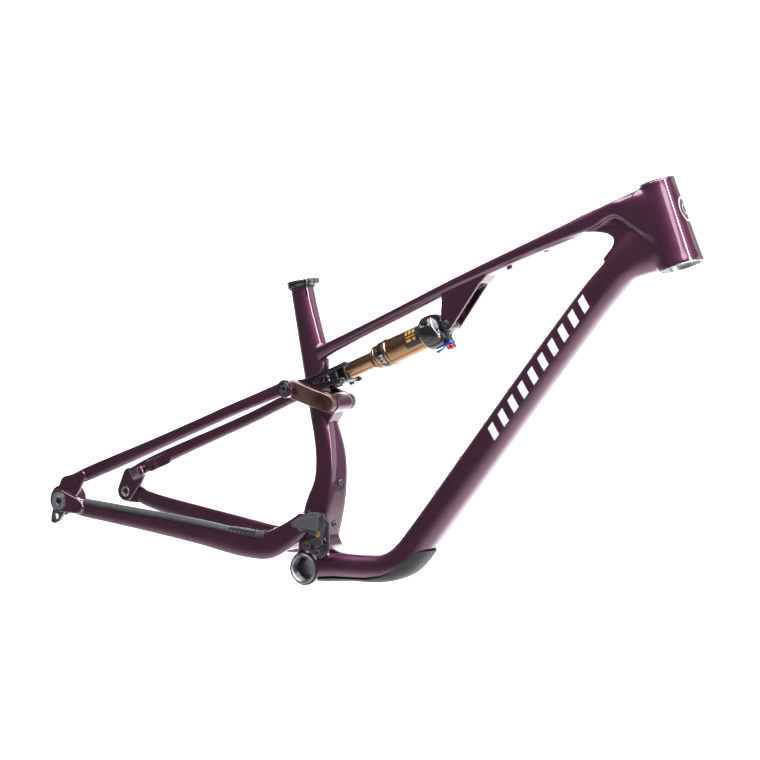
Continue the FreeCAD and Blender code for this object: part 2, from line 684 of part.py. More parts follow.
def seatstay(side):
    """One stay with its pivot eye, its axle plate and, on the left, the brake pad."""
    plate_inner = HUB_SPACING / 2
    solids = [loft(SEATSTAY, side)]
    solids.append(pin(STAY_PIVOT, 13.5, side * STAY_EYE_INNER, side * STAY_EYE_OUTER))
    solids.append(plate(STAY_FOOT, side * plate_inner, side * (plate_inner + STAY_PLATE)))
    if side == LEFT:
        down = brake_direction()
        for x, z in BRAKE_HOLES:
            solids.append(rod(V(x, BRAKE_Y, z) - down * 10, down, 6.0, 12.0))
    body = solids[0].multiFuse(solids[1:])
    cutters = [pin(REAR_AXLE, BOSS_R + 1.5, side * (plate_inner + STAY_PLATE), side * 120)]
    cutters.append(pin(REAR_AXLE, 8.5, side * 50, side * 120))
    cutters.append(pin(STAY_PIVOT, STAY_BOLT_R, side * 20, side * 60))
    cutters.append(pin(STAY_PIVOT, 10.2, side * (STAY_EYE_OUTER - 2.5), side * 70))
    cutters.append(pin(STAY_PIVOT, 30.0, side * 10, side * STAY_EYE_INNER))
    if side == LEFT:
        down = brake_direction()
        for x, z in BRAKE_HOLES:
            cutters.append(rod(V(x, BRAKE_Y, z) + down * 3, down * -1, 2.5, 12.0))
    return body.cut(cutters)


STAY_BOLT_R = 4.0


def seatstay_pivot_bolts():
    """Shouldered bolts that carry seatstay, rocker and yoke on one line."""
    bolts = []
    for side in (RIGHT, LEFT):
        cap = pivot_cap(STAY_PIVOT, side, STAY_EYE_OUTER - 2.5, STAY_EYE_OUTER + 1.0, 10.2, 6.0)
        bolts.append(cap.fuse(pin(STAY_PIVOT, STAY_BOLT_R, side * (YOKE_INNER + 0.6),
                                  side * (STAY_EYE_OUTER - 2.5))))
    return compound(bolts)


def dropout_sleeve(side):
    """Axle sleeve fixed in the seatstay's plate; the chainstay turns on it."""
    inner = HUB_SPACING / 2
    body = pin(REAR_AXLE, 8.5, side * inner, side * (inner + STAY_PLATE))
    body = body.fuse(pin(REAR_AXLE, SLEEVE_R, side * (inner + STAY_PLATE), side * BOSS_OUTER))
    body = body.fuse(Part.makeCone(SLEEVE_R, 13.4, 1.4, point(REAR_AXLE, side * (BOSS_OUTER - 1.4)),
                                   AXIS_Y * side))
    return body.cut(pin(REAR_AXLE, AXLE_BORE_R, side * 50, side * 120))


# ================================================================ rocker
ROCKER_EYE_R = 13.0
ROCKER_FLARE_START = 13.0       # the arm starts to lean outwards here, from its pivot
ROCKER_FLARE_END = 24.5


def rocker_arm(side):
    """One side of the rocker, flaring outwards to clear the shock's yoke."""
    reach = math.hypot(STAY_PIVOT[0] - ROCKER_PIVOT[0], STAY_PIVOT[1] - ROCKER_PIVOT[1])
    profile = plate([ROCKER_PIVOT + (ROCKER_EYE_R,), STAY_PIVOT + (ROCKER_EYE_R + 0.5,)],
                    side * ROCKER_BOSS_HALF, side * ROCKER_REAR_OUTER)
    inner = ROCKER_BOSS_HALF + GAP
    plan = [(-20.0, inner), (ROCKER_FLARE_START, inner), (ROCKER_FLARE_END, ROCKER_REAR_INNER),
            (reach + 20.0, ROCKER_REAR_INNER), (reach + 20.0, ROCKER_REAR_OUTER),
            (ROCKER_FLARE_END, ROCKER_REAR_OUTER - 1.0), (ROCKER_FLARE_START, ROCKER_FRONT_OUTER),
            (-20.0, ROCKER_FRONT_OUTER)]
    corners = [V(distance, y * side, -40) for distance, y in plan]
    room = Part.Face(Part.makePolygon(corners + corners[:1])).extrude(V(0, 0, 80))
    back = unit(ROCKER_PIVOT, STAY_PIVOT)
    room.rotate(V(0, 0, 0), AXIS_Y, -math.degrees(math.atan2(back[1], back[0])))
    room.translate(point(ROCKER_PIVOT))
    body = profile.common(room)
    cutters = [pin(STAY_PIVOT, STAY_BEARING_R, side * 10, side * 60)]
    cutters.append(pin(ROCKER_PIVOT, ROCKER_AXLE_R, side * 10, side * (ROCKER_FRONT_OUTER - 2)))
    return body.cut(cutters)


STAY_BEARING_R = 11.0


def stay_pivot_bearings():
    solids = []
    for side in (RIGHT, LEFT):
        solids.append(ring(STAY_PIVOT, STAY_BEARING_R, 8.4, side * (ROCKER_REAR_INNER + 2),
                           side * (ROCKER_REAR_OUTER - 2)))
    return compound(solids)


def rocker_axle():
    return pin(ROCKER_PIVOT, ROCKER_AXLE_R, -ROCKER_FRONT_OUTER + 2, ROCKER_FRONT_OUTER - 2)


# ================================================================ rear shock
def shock_head():
    """Cast head with the eye that sits between the frame's ears."""
    body = shock_turned(HEAD_START + 5, HEAD_END - 3, HEAD_R)
    body = body.fuse(cone(point(shock_point(HEAD_START)), SHOCK_DOWN_3D, HEAD_R - 6, HEAD_R, 5.0))
    body = body.fuse(cone(point(shock_point(HEAD_END - 3)), SHOCK_DOWN_3D, HEAD_R, HEAD_R - 2, 3.0))
    eye = plate([(SHOCK_EYE[0], SHOCK_EYE[1], 9.5), shock_point(18, 9) + (2,),
                 shock_point(18, -9) + (2,)], -EAR_INNER + 0.4, EAR_INNER - 0.4)
    body = body.fuse(eye)
    barrel = rod(control_point(6.0), SHOCK_BELOW_3D, 6.0, 16.0)
    body = body.fuse(barrel)
    return body.cut([pin(SHOCK_EYE, 7.0, -20, 20),
                     shock_turned(HEAD_END - 9, HEAD_END + 5, CAN_R - CAN_WALL)])


def shock_eye_bushing():
    return ring(SHOCK_EYE, 7.0, EAR_BOLT_R + RUN, -EAR_INNER + 0.3, EAR_INNER - 0.3)


def shock_air_can():
    """Air can with a raised ridge at its open end."""
    body = shock_turned(HEAD_END, CAN_END, CAN_R)
    body = body.fuse(shock_turned(RIDGE_START, CAN_END, RIDGE_R))
    return body.cut(shock_turned(HEAD_END - 1, CAN_END + 1, CAN_R - CAN_WALL))


def shock_band():
    """Black outer ring round the seal head."""
    body = shock_turned(CAN_END, BAND_END, BAND_R)
    return body.cut(shock_turned(CAN_END - 1, BAND_END + 1, CAN_R - CAN_WALL))


def shock_seal_head():
    """Seal head that guides the shaft, with its wiper lip outside."""
    body = shock_turned(CAN_END - 4, BAND_END, CAN_R - CAN_WALL)
    body = body.fuse(cone(point(shock_point(BAND_END)), SHOCK_DOWN_3D, CAN_R - CAN_WALL, SEAL_R,
                          SEAL_END - BAND_END))
    return body.cut(shock_turned(CAN_END - 10, SEAL_END + 1, SHAFT_R + RUN))


def shock_shaft():
    body = shock_turned(PISTON_END, SHAFT_END, SHAFT_R)
    return body.cut(shock_turned(PISTON_END - 1, SHAFT_END - 20, SHAFT_R - 3.5))


def shock_piston():
    body = shock_turned(PISTON_START, PISTON_END, CAN_R - CAN_WALL - RUN)
    return body.cut(shock_turned(PISTON_START - 1, PISTON_END + 1, 4.0))


def shock_o_ring():
    """Rubber travel marker on the shaft; the wiper pushes it along."""
    body = shock_turned(SEAL_END + 0.4, SEAL_END + 3.4, SHAFT_R + 1.7)
    return body.cut(shock_turned(SEAL_END - 1, SEAL_END + 5, SHAFT_R + RUN))


def shock_yoke():
    """Fork that carries the shaft's end round both sides of the seat tube."""
    solids = []
    solids.append(plate(shock_box(CLAMP_START, CROSSPIECE_END, 14.5, 2.0), -16.0, 16.0))
    solids.append(plate(shock_box(CROSSPIECE_START, CROSSPIECE_END, 13.5, 2.0),
                        -YOKE_OUTER, YOKE_OUTER))
    for side in (RIGHT, LEFT):
        corners = [(STAY_PIVOT[0], STAY_PIVOT[1], 11.0),
                   shock_point(CROSSPIECE_END - 4, -11) + (2.4,),
                   shock_point(CROSSPIECE_END - 4, 11) + (2.4,)]
        solids.append(plate(corners, side * YOKE_INNER, side * YOKE_OUTER))
    body = solids[0].multiFuse(solids[1:])
    cutters = [shock_turned(CLAMP_START - 10, SHAFT_END, SHAFT_R)]
    for side in (RIGHT, LEFT):
        cutters.append(pin(STAY_PIVOT, 7.0, side * 10, side * 60))
        pocket = shock_box(216, 250, 7.0, 1.5)
        cutters.append(plate(pocket, side * (YOKE_OUTER - 2.5), side * 60))
    for start in yoke_bolt_places():
        cutters.append(rod(start, SHOCK_BELOW_3D * -1, BOLT_SHANK_R, 40.0))
    return body.cut(cutters)


def yoke_bolt_places():
    """The two clamp bolts enter the crosspiece from below."""
    places = []
    for y in (-19.2, 19.2):
        places.append(point(shock_point(YOKE_BOLT, -13.5), y))
    return places


def yoke_bolts():
    screws = []
    for start in yoke_bolt_places():
        screws.append(socket_screw(start, SHOCK_BELOW_3D, BOLT_SHANK_R, 22.0, 4.2, 3.5, 3.0))
    return compound(screws)


def yoke_eye_bushings():
    solids = []
    for side in (RIGHT, LEFT):
        solids.append(ring(STAY_PIVOT, 7.0, 5.5, side * YOKE_INNER, side * YOKE_OUTER))
    return compound(solids)


# ---------------------------------------------------------------- shock controls
def control_point(depth):
    """Point on the control stack, depth below the shock's line."""
    return point(shock_point(CONTROL_STATION, -depth))


def lockout_lever():
    """Blue collar with a thumb arm that lies back along the shock."""
    direction = SHOCK_BELOW_3D
    body = rod(control_point(22.4), direction, 7.2, 4.4)
    corners = [(CONTROL_STATION, -22.8, 0), (CONTROL_STATION, -25.8, 0),
               (35.0, -28.0, 1.2), (35.0, -25.0, 1.2)]
    arm = plate([shock_point(station, rise) + (corner,) for station, rise, corner in corners], -4.0, 4.0)
    return body.fuse(arm).cut(rod(control_point(10), direction, 2.6, 30))


def rebound_knob():
    """Notched knob on a thin stem that passes through the lever's collar."""
    direction = SHOCK_BELOW_3D
    body = rod(control_point(27.2), direction, 7.0, 6.3)
    notches = []
    for i in range(12):
        turn = 30.0 * i
        notch = rod(V(7.6, 0, -1), AXIS_Z, 1.1, 12)
        notch.rotate(V(0, 0, 0), AXIS_Z, turn)
        seat = FreeCAD.Placement(control_point(27.2), FreeCAD.Rotation(AXIS_Z, direction))
        notch.Placement = seat.multiply(notch.Placement)
        notches.append(notch)
    return body.cut(notches).fuse(rod(control_point(22.15), direction, 2.5, 6.0))


def shock_valve_cap():
    """Air valve's cap on the side of the head."""
    start = point(shock_point(34.0), HEAD_R - 4.0)
    body = rod(start, AXIS_Y, 5.0, 10.0)
    return body.cut(shock_turned(HEAD_START, HEAD_END, HEAD_R))


# ================================================================ export
def build():
    nodes = {
        "front_triangle": front_triangle(),
        "headset_seat_upper": headset_seat(True),
        "headset_seat_lower": headset_seat(False),
        "bottom_bracket_sleeve": bottom_bracket_sleeve(),
        "seat_collar": seat_collar(),
        "seat_collar_bolt": seat_collar_bolt(),
        "bottle_bolts": bolt_group("bottle"),
        "top_tube_bolts": bolt_group("top_tube"),
        "down_tube_protector": down_tube_protector(),
        "main_pivot_bearings": main_pivot_bearings(),
        "rocker_pivot_bearings": rocker_pivot_bearings(),
        "shock_mount_bolt": shock_mount_bolt(),
        "chain_guide_backplate": chain_guide_backplate(),
        "chain_guide_cage": chain_guide_cage(),
        "chain_guide_bolts": chain_guide_bolts(),
        "chain_guide_cage_bolt": chain_guide_cage_bolt(),
        "chainstay": chainstay(),
        "main_pivot_axle": main_pivot_axle(),
        "main_pivot_caps": main_pivot_caps(),
        "dropout_bearings": dropout_bearings(),
        "chainstay_protector": chainstay_protector(),
        "derailleur_hanger": derailleur_hanger(),
        "seatstay_pivot_bolts": seatstay_pivot_bolts(),
        "rocker_axle": rocker_axle(),
        "stay_pivot_bearings": stay_pivot_bearings(),
        "shock_head": shock_head(),
        "shock_eye_bushing": shock_eye_bushing(),
        "shock_air_can": shock_air_can(),
        "shock_band": shock_band(),
        "shock_seal_head": shock_seal_head(),
        "shock_shaft": shock_shaft(),
        "shock_piston": shock_piston(),
        "shock_o_ring": shock_o_ring(),
        "shock_yoke": shock_yoke(),
        "yoke_bolts": yoke_bolts(),
        "yoke_eye_bushings": yoke_eye_bushings(),
        "lockout_lever": lockout_lever(),
        "rebound_knob": rebound_knob(),
        "shock_valve_cap": shock_valve_cap(),
    }
    for name, side in SIDES.items():
        nodes["seatstay_" + name] = seatstay(side)
        nodes["dropout_sleeve_" + name] = dropout_sleeve(side)
        nodes["rocker_arm_" + name] = rocker_arm(side)
    return nodes


os.makedirs("parts", exist_ok=True)
for node, shape in build().items():
    shape.exportStep("parts/" + node + ".step")
    print(node, len(shape.Solids), round(shape.Volume / 1000, 2), "cm3", shape.isValid())
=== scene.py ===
import json
import math

import bmesh
import bpy
import numpy as np
from mathutils import Matrix, Vector
from mathutils.bvhtree import BVHTree


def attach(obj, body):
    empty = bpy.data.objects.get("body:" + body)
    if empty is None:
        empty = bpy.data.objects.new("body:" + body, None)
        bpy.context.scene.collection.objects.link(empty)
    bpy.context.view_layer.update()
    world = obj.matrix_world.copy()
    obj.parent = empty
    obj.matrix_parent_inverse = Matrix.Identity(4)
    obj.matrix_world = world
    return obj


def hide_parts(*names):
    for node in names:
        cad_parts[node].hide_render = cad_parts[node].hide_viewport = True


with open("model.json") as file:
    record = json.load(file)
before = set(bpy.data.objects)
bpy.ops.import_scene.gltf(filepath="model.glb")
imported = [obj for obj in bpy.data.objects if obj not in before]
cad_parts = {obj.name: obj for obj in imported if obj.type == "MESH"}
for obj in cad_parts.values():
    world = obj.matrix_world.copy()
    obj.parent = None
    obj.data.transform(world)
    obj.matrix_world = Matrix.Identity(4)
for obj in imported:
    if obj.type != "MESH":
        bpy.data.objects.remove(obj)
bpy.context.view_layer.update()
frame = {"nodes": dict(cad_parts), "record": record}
NODES = frame["nodes"]
MM = 0.001

# The side plane's places (x, z) and the angles, in millimetres and degrees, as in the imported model.
AXLE = (-435.0, 36.0)
MAIN = (-4.0, 68.0)
ROCKER = (14.5, 249.5)
STAY = (-50.0, 263.5)
EYE = (198.0, 388.5)
SHOCK_ANGLE = 28.2
HEAD_TOP = (499.0, 616.0)
HEAD_ANGLE = 65.7
HEAD_LENGTH = 118.0
SEAT_TOP = (-67.5, 417.6)
SEAT_ANGLE = 73.4
SEAT_TUBE_R = 17.5
DOWN_TUBE_ANGLE = 57.6
AXIS_Y, AXIS_Z = (0, 1, 0), (0, 0, 1)
RIGHT, LEFT = -1, 1               # the chain side is the right side


def leaning(angle):
    """Direction in the middle plane that rises towards the rear at this angle."""
    return Vector((-math.cos(math.radians(angle)), 0, math.sin(math.radians(angle))))


SEAT_UP, HEAD_UP = leaning(SEAT_ANGLE), leaning(HEAD_ANGLE)
SEAT_END = Vector((SEAT_TOP[0], 0, SEAT_TOP[1]))
HEAD_END_TOP = Vector((HEAD_TOP[0], 0, HEAD_TOP[1]))
HEAD_END_LOW = HEAD_END_TOP - HEAD_UP * HEAD_LENGTH


def side_name(side):
    return "right" if side == RIGHT else "left"


# ---------------- mesh helpers
def add(name, verts, faces, smooth=True):
    mesh = bpy.data.meshes.new(name)
    mesh.from_pydata([tuple(float(c) * MM for c in v) for v in verts], [], faces)
    mesh.validate()
    ob = bpy.data.objects.new(name, mesh)
    bpy.context.scene.collection.objects.link(ob)
    bm = bmesh.new()
    bm.from_mesh(mesh)
    bmesh.ops.recalc_face_normals(bm, faces=bm.faces)
    bm.to_mesh(mesh)
    bm.free()
    for p in mesh.polygons:
        p.use_smooth = smooth
    return ob


def bake(ob):
    """Applies the modifiers, by making the evaluated mesh the object's own."""
    bpy.context.view_layer.update()
    graph = bpy.context.evaluated_depsgraph_get()
    made = bpy.data.meshes.new_from_object(ob.evaluated_get(graph), depsgraph=graph)
    old = ob.data
    ob.modifiers.clear()
    ob.data = made
    bpy.data.meshes.remove(old)
    return ob


def drop(ob):
    mesh = ob.data
    bpy.data.objects.remove(ob)
    if mesh.users == 0:
        bpy.data.meshes.remove(mesh)


def join(name, parts):
    verts, faces = [], []
    for ob in parts:
        base = len(verts)
        verts += [tuple(v.co) for v in ob.data.vertices]
        faces += [tuple(i + base for i in p.vertices) for p in ob.data.polygons]
        drop(ob)
    mesh = bpy.data.meshes.new(name)
    mesh.from_pydata(verts, [], faces)
    ob = bpy.data.objects.new(name, mesh)
    bpy.context.scene.collection.objects.link(ob)
    return ob


def get_co(ob):
    co = np.zeros(len(ob.data.vertices) * 3)
    ob.data.vertices.foreach_get("co", co)
    return co.reshape(-1, 3)


def set_co(ob, co):
    ob.data.vertices.foreach_set("co", np.asarray(co, float).ravel())
    ob.data.update()


def relax(ob, rounds, weight=None, back=-0.52):
    """Taubin smoothing; weight is a function of the points in millimetres."""
    co = get_co(ob)
    count = len(co)
    edges = np.zeros(len(ob.data.edges) * 2, np.int64)
    ob.data.edges.foreach_get("vertices", edges)
    a, b = edges.reshape(-1, 2).T
    degree = np.maximum(np.bincount(a, minlength=count) + np.bincount(b, minlength=count), 1)
    amount = np.ones(count) if weight is None else np.clip(weight(co / MM), 0, 1)
    for _ in range(rounds):
        for pull in ((0.5, back) if back else (0.5,)):
            near = np.empty_like(co)
            for k in range(3):
                near[:, k] = (np.bincount(a, co[b, k], count) + np.bincount(b, co[a, k], count)) / degree
            co = co + (near - co) * (pull * amount)[:, None]
    set_co(ob, co)
    return ob


def shade(ob, degrees=35):
    for p in ob.data.polygons:
        p.use_smooth = True
    ob.data.set_sharp_from_angle(angle=math.radians(degrees))
    return ob


def modified(ob, kind, **settings):
    """Ob with one modifier applied."""
    mod = ob.modifiers.new(kind, kind)
    for key, value in settings.items():
        setattr(mod, key, value)
    return bake(ob)


def merge(name, parts, voxel, rounds):
    """One skin round several closed parts."""
    skin = modified(join(name, parts), "REMESH", mode="VOXEL", voxel_size=voxel * MM, adaptivity=0)
    return relax(skin, rounds)


def cut(ob, cutters, operation="DIFFERENCE"):
    """Cuts each cutter away, or joins it on for UNION, and then drops it."""
    for c in cutters:
        modified(ob, "BOOLEAN", operation=operation, solver="EXACT", object=c)
        drop(c)
    return ob


def bevel(ob, width, segments=3, degrees=32):
    modified(ob, "BEVEL", width=width * MM, segments=segments, limit_method="ANGLE",
             angle_limit=math.radians(degrees), harden_normals=True, use_clamp_overlap=True)
    return shade(ob)


def catmull(rows, step=4.0):
    """Rows of numbers, the first three a place, at even small steps on a smooth curve."""
    rows = np.asarray(rows, float)
    t = np.concatenate([[0], np.cumsum(np.linalg.norm(np.diff(rows[:, :3], axis=0), axis=1) ** 0.5 + 1e-9)])
    out = []
    slopes = np.zeros_like(rows)
    for i in range(len(rows)):
        if i == 0:
            slopes[i] = (rows[1] - rows[0]) / (t[1] - t[0])
        elif i == len(rows) - 1:
            slopes[i] = (rows[-1] - rows[-2]) / (t[-1] - t[-2])
        else:
            h0, h1 = t[i] - t[i - 1], t[i + 1] - t[i]
            slopes[i] = ((rows[i] - rows[i - 1]) / h0 * h1 + (rows[i + 1] - rows[i]) / h1 * h0) / (h0 + h1)
    for i in range(len(rows) - 1):
        h = t[i + 1] - t[i]
        n = max(2, int(math.ceil(np.linalg.norm(rows[i + 1, :3] - rows[i, :3]) / step)))
        for k in range(n):
            u = k / n
            out.append(rows[i] * (2 * u ** 3 - 3 * u ** 2 + 1) + slopes[i] * h * (u ** 3 - 2 * u ** 2 + u)
                       + rows[i + 1] * (3 * u ** 2 - 2 * u ** 3) + slopes[i + 1] * h * (u ** 3 - u ** 2))
    out.append(rows[-1])
    return out


def tilt_normal(tilt):
    return -math.sin(math.radians(tilt)), math.cos(math.radians(tilt))


def turns(around):
    """Angles at even steps round a circle."""
    return [2 * math.pi * i / around for i in range(around)]


def skin_faces(rows, around):
    """Faces of a closed skin over so many rows of places, each the same number of places round."""
    faces = []
    for k in range(rows - 1):
        for i in range(around):
            j = (i + 1) % around
            faces.append((k * around + i, k * around + j, (k + 1) * around + j, (k + 1) * around + i))
    faces.append(tuple(range(around))[::-1])
    faces.append(tuple((rows - 1) * around + i for i in range(around)))
    return faces


def prism_faces(n):
    """Faces of a prism whose two ends have n corners each."""
    faces = [tuple(range(n)), tuple(range(2 * n - 1, n - 1, -1))]
    return faces + [(i, (i + 1) % n, n + (i + 1) % n, n + i) for i in range(n)]


def tube(name, rows, side=1, around=72, step=4.0):
    """Closed tube. A row is (x, z, y, tilt, depth, width, upper power, lower power): the powers set how square
    the upper and the lower half of the section are."""
    dense = catmull([(r[0], r[2] * side, r[1]) + tuple(r[3:]) for r in rows], step)
    verts = []
    for x, y, z, tilt, depth, width, high, low in dense:
        nx, nz = tilt_normal(tilt)
        for a in turns(around):
            c, s = math.cos(a), math.sin(a)
            power = high if c > 0 else low
            r = (abs(c) ** power + abs(s) ** power) ** (-1 / power)
            u, v = c * r * depth / 2, s * r * width / 2
            verts.append((x + nx * u, y + v, z + nz * u))
    return add(name, verts, skin_faces(len(dense), around))


def basis(axis):
    z = Vector(axis).normalized()
    x = Vector(AXIS_Y) if abs(z.y) < 0.9 else Vector((1, 0, 0))
    x = (x - z * x.dot(z)).normalized()
    return x, z.cross(x), z


def turned(name, origin, axis, profile, around=96, sharp=30):
    """A piece turned about an axis. The profile is (distance along, radius) in order, and makes a closed ring if
    it never meets the axis."""
    x, y, z = basis(axis)
    o = Vector(origin)
    verts, faces, rings = [], [], []
    for d, r in profile:
        if r < 1e-6:
            rings.append([len(verts)])
            verts.append(tuple(o + z * d))
            continue
        rings.append(list(range(len(verts), len(verts) + around)))
        for a in turns(around):
            verts.append(tuple(o + z * d + x * (r * math.cos(a)) + y * (r * math.sin(a))))
    closed = len(rings[0]) > 1 and len(rings[-1]) > 1
    pairs = list(zip(rings, rings[1:])) + ([(rings[-1], rings[0])] if closed else [])
    for a, b in pairs:
        if len(a) == 1 and len(b) == 1:
            continue
        for i in range(around):
            j = (i + 1) % around
            if len(a) == 1:
                faces.append((a[0], b[j], b[i]))
            elif len(b) == 1:
                faces.append((a[i], a[j], b[0]))
            else:
                faces.append((a[i], a[j], b[j], b[i]))
    ob = add(name, verts, faces)
    return shade(ob, sharp)


def rounded(profile, radius, steps=3):
    """The same profile with its corners rounded."""
    out = [profile[0]]
    for p, q, r in zip(profile, profile[1:], profile[2:]):
        a, b, c = np.array(p, float), np.array(q, float), np.array(r, float)
        la, lc = np.linalg.norm(a - b), np.linalg.norm(c - b)
        cut_by = min(radius, la * 0.45, lc * 0.45)
        if la < 1e-6 or lc < 1e-6 or cut_by < 1e-4:
            out.append(q)
            continue
        start, end = b + (a - b) / la * cut_by, b + (c - b) / lc * cut_by
        for k in range(steps + 1):
            u = k / steps
            out.append(tuple(start * (1 - u) ** 2 + 2 * b * u * (1 - u) + end * u ** 2))
    out.append(profile[-1])
    return out


def rod(name, origin, axis, radius, length, around=96):
    return turned(name, origin, axis, [(0, 0), (0, radius), (length, radius), (length, 0)], around)


def cross_rod(name, xz, radius, y0, y1, around=96):
    """A rod across the frame at (x, z), from y0 to y1."""
    return rod(name, (xz[0], min(y0, y1), xz[1]), AXIS_Y, radius, abs(y1 - y0), around)


def outline(circles, arc=8):
    """Points round a chain of circles (x, z, r), the hull of each next pair, anticlockwise."""
    n = len(circles)
    area = sum(circles[i - 1][0] * circles[i][1] - circles[i][0] * circles[i - 1][1] for i in range(n))
    if area < 0:
        circles = circles[::-1]
    normals = []
    for i in range(n):
        x0, z0, r0 = circles[i]
        x1, z1, r1 = circles[(i + 1) % n]
        length = math.hypot(x1 - x0, z1 - z0)
        ux, uz = (x1 - x0) / length, (z1 - z0) / length
        lean = (r0 - r1) / length
        up = math.sqrt(max(0, 1 - lean * lean))
        normals.append((ux * lean + uz * up, uz * lean - ux * up))
    points = []
    for i in range(n):
        x0, z0, r0 = circles[i]
        before, after = normals[i - 1], normals[i]
        if r0 <= 0:
            points.append((x0, z0))
            continue
        first = math.atan2(before[1], before[0])
        sweep = (math.atan2(after[1], after[0]) - first) % (2 * math.pi)
        if sweep > 1.5 * math.pi and n > 2:
            m = ((before[0] + after[0]) / 2, (before[1] + after[1]) / 2)
            points.append((x0 + r0 * m[0], z0 + r0 * m[1]))
            continue
        steps = max(2, int(arc * sweep / (math.pi / 2)) + 1)
        for k in range(steps + 1):
            a = first + sweep * k / steps
            points.append((x0 + r0 * math.cos(a), z0 + r0 * math.sin(a)))
    return points


def slab(name, points, y0, y1):
    """A flat plate with this side outline, from y0 to y1."""
    verts = [(x, y, z) for y in sorted((y0, y1)) for x, z in points]
    return add(name, verts, prism_faces(len(points)), smooth=False)


def hexagon(name, origin, axis, flats, depth):
    """A hexagonal socket's cutter."""
    return rod(name, origin, axis, flats / math.sqrt(3), depth, 6)


# ---------------- shock frame
SA = math.radians(SHOCK_ANGLE)
SHOCK_FOOT = Vector((EYE[0], 0, EYE[1]))
DOWN = Vector((-math.cos(SA), 0, -math.sin(SA)))     # from the eye towards the stay pivot
BELOW = Vector((math.sin(SA), 0, -math.cos(SA)))


def on_shock(distance, rise=0.0):
    """Place in the middle plane, by its station along the shock from the eye and its rise above its line."""
    return tuple(SHOCK_FOOT + DOWN * distance - BELOW * rise)


def on_shock_xz(distance, rise=0.0):
    x, _, z = on_shock(distance, rise)
    return x, z


# ---------------- materials
class Shader:
    """Short names for building one material's nodes. Places are read in millimetres."""

    def __init__(self, name):
        self.mat = bpy.data.materials.new(name)
        self.mat.use_nodes = True
        self.tree = self.mat.node_tree
        self.out = self.tree.nodes["Principled BSDF"]
        coords = self.node("ShaderNodeTexCoord")
        scale = self.node("ShaderNodeVectorMath", operation="SCALE")
        scale.inputs["Scale"].default_value = 1000.0
        self.link(coords.outputs["Object"], scale.inputs[0])
        self.place = scale.outputs[0]

    def node(self, kind, **props):
        made = self.tree.nodes.new(kind)
        for key, value in props.items():
            setattr(made, key, value)
        return made

    def link(self, a, b):
        self.tree.links.new(a, b)

    def set(self, **values):
        for key, value in values.items():
            socket = self.out.inputs[key.replace("_", " ")]
            if isinstance(value, bpy.types.NodeSocket):
                self.link(value, socket)
            else:
                socket.default_value = value
        return self

    def math(self, op, a, b):
        made = self.node("ShaderNodeMath", operation=op)
        for i, v in enumerate((a, b)):
            if isinstance(v, bpy.types.NodeSocket):
                self.link(v, made.inputs[i])
            else:
                made.inputs[i].default_value = v
        return made.outputs[0]

    def noise(self, size, detail=3.0, rough=0.55, stretch=None):
        """Noise whose features are about size millimetres."""
        made = self.node("ShaderNodeTexNoise")
        made.inputs["Scale"].default_value = 1.0 / size
        made.inputs["Detail"].default_value = detail
        made.inputs["Roughness"].default_value = rough
        source = self.place
        if stretch:
            m = self.node("ShaderNodeMapping")
            m.inputs["Scale"].default_value = stretch
            self.link(self.place, m.inputs["Vector"])
            source = m.outputs[0]
        self.link(source, made.inputs["Vector"])
        return made.outputs["Fac"]

    def cells(self, size):
        made = self.node("ShaderNodeTexVoronoi")
        made.inputs["Scale"].default_value = 1.0 / size
        self.link(self.place, made.inputs["Vector"])
        return made.outputs

    def ramp(self, value, *stops):
        made = self.node("ShaderNodeValToRGB")
        while len(made.color_ramp.elements) < len(stops):
            made.color_ramp.elements.new(0.5)
        for e, (at, colour) in zip(made.color_ramp.elements, stops):
            e.position = at
            e.color = colour + (1.0,)
        self.link(value, made.inputs[0])
        return made.outputs[0]

    def mix(self, factor, a, b):
        """Colour a turning into the constant colour b."""
        made = self.node("ShaderNodeMix", data_type="RGBA")
        self.link(factor, made.inputs[0])
        self.link(a, made.inputs[6])
        made.inputs[7].default_value = b + (1.0,)
        return made.outputs[2]

    def range(self, value, low, high):
        made = self.node("ShaderNodeMapRange")
        self.link(value, made.inputs[0])
        made.inputs[3].default_value = low
        made.inputs[4].default_value = high
        return made.outputs[0]

    def bump(self, height, depth):
        """Relief of depth millimetres."""
        made = self.node("ShaderNodeBump")
        made.inputs["Strength"].default_value = 1.0
        made.inputs["Distance"].default_value = depth * MM
        self.link(height, made.inputs["Height"])
        return made.outputs[0]

    def edges(self):
        """1 on outer edges, where edge wear and a painted edge highlight go; 0 elsewhere."""
        made = self.node("ShaderNodeNewGeometry")
        return self.ramp(made.outputs["Pointiness"], (0.51, (0.0, 0.0, 0.0)), (0.56, (1.0, 1.0, 1.0)))


def finish_of(name, dark, light, metallic, rough, size, grain, relief, coat=0.0, wear_and_highlight=None, stretch=None,
              coat_rough=0.08):
    """A surface with colour clouds, uneven gloss, a fine grain and lighter outer edges, partly wear and partly
    painted highlight.
    """
    s = Shader(name)
    colour = s.ramp(s.noise(size, 4.0), (0.3, dark), (0.7, light))
    fine = s.noise(grain, 2.0, 0.6, stretch)
    if wear_and_highlight is not None:
        # outer edges turn lighter: partly edge wear, partly a painted edge highlight
        patchy = s.math("MULTIPLY", s.edges(), s.range(s.noise(3.0), 0.2, 1.0))
        colour = s.mix(patchy, colour, wear_and_highlight)
    s.set(Base_Color=colour, Metallic=metallic, Roughness=s.range(s.noise(size * 0.6, 3.0), *rough),
          Normal=s.bump(fine, relief), Coat_Weight=coat, Coat_Roughness=coat_rough)
    return s.mat


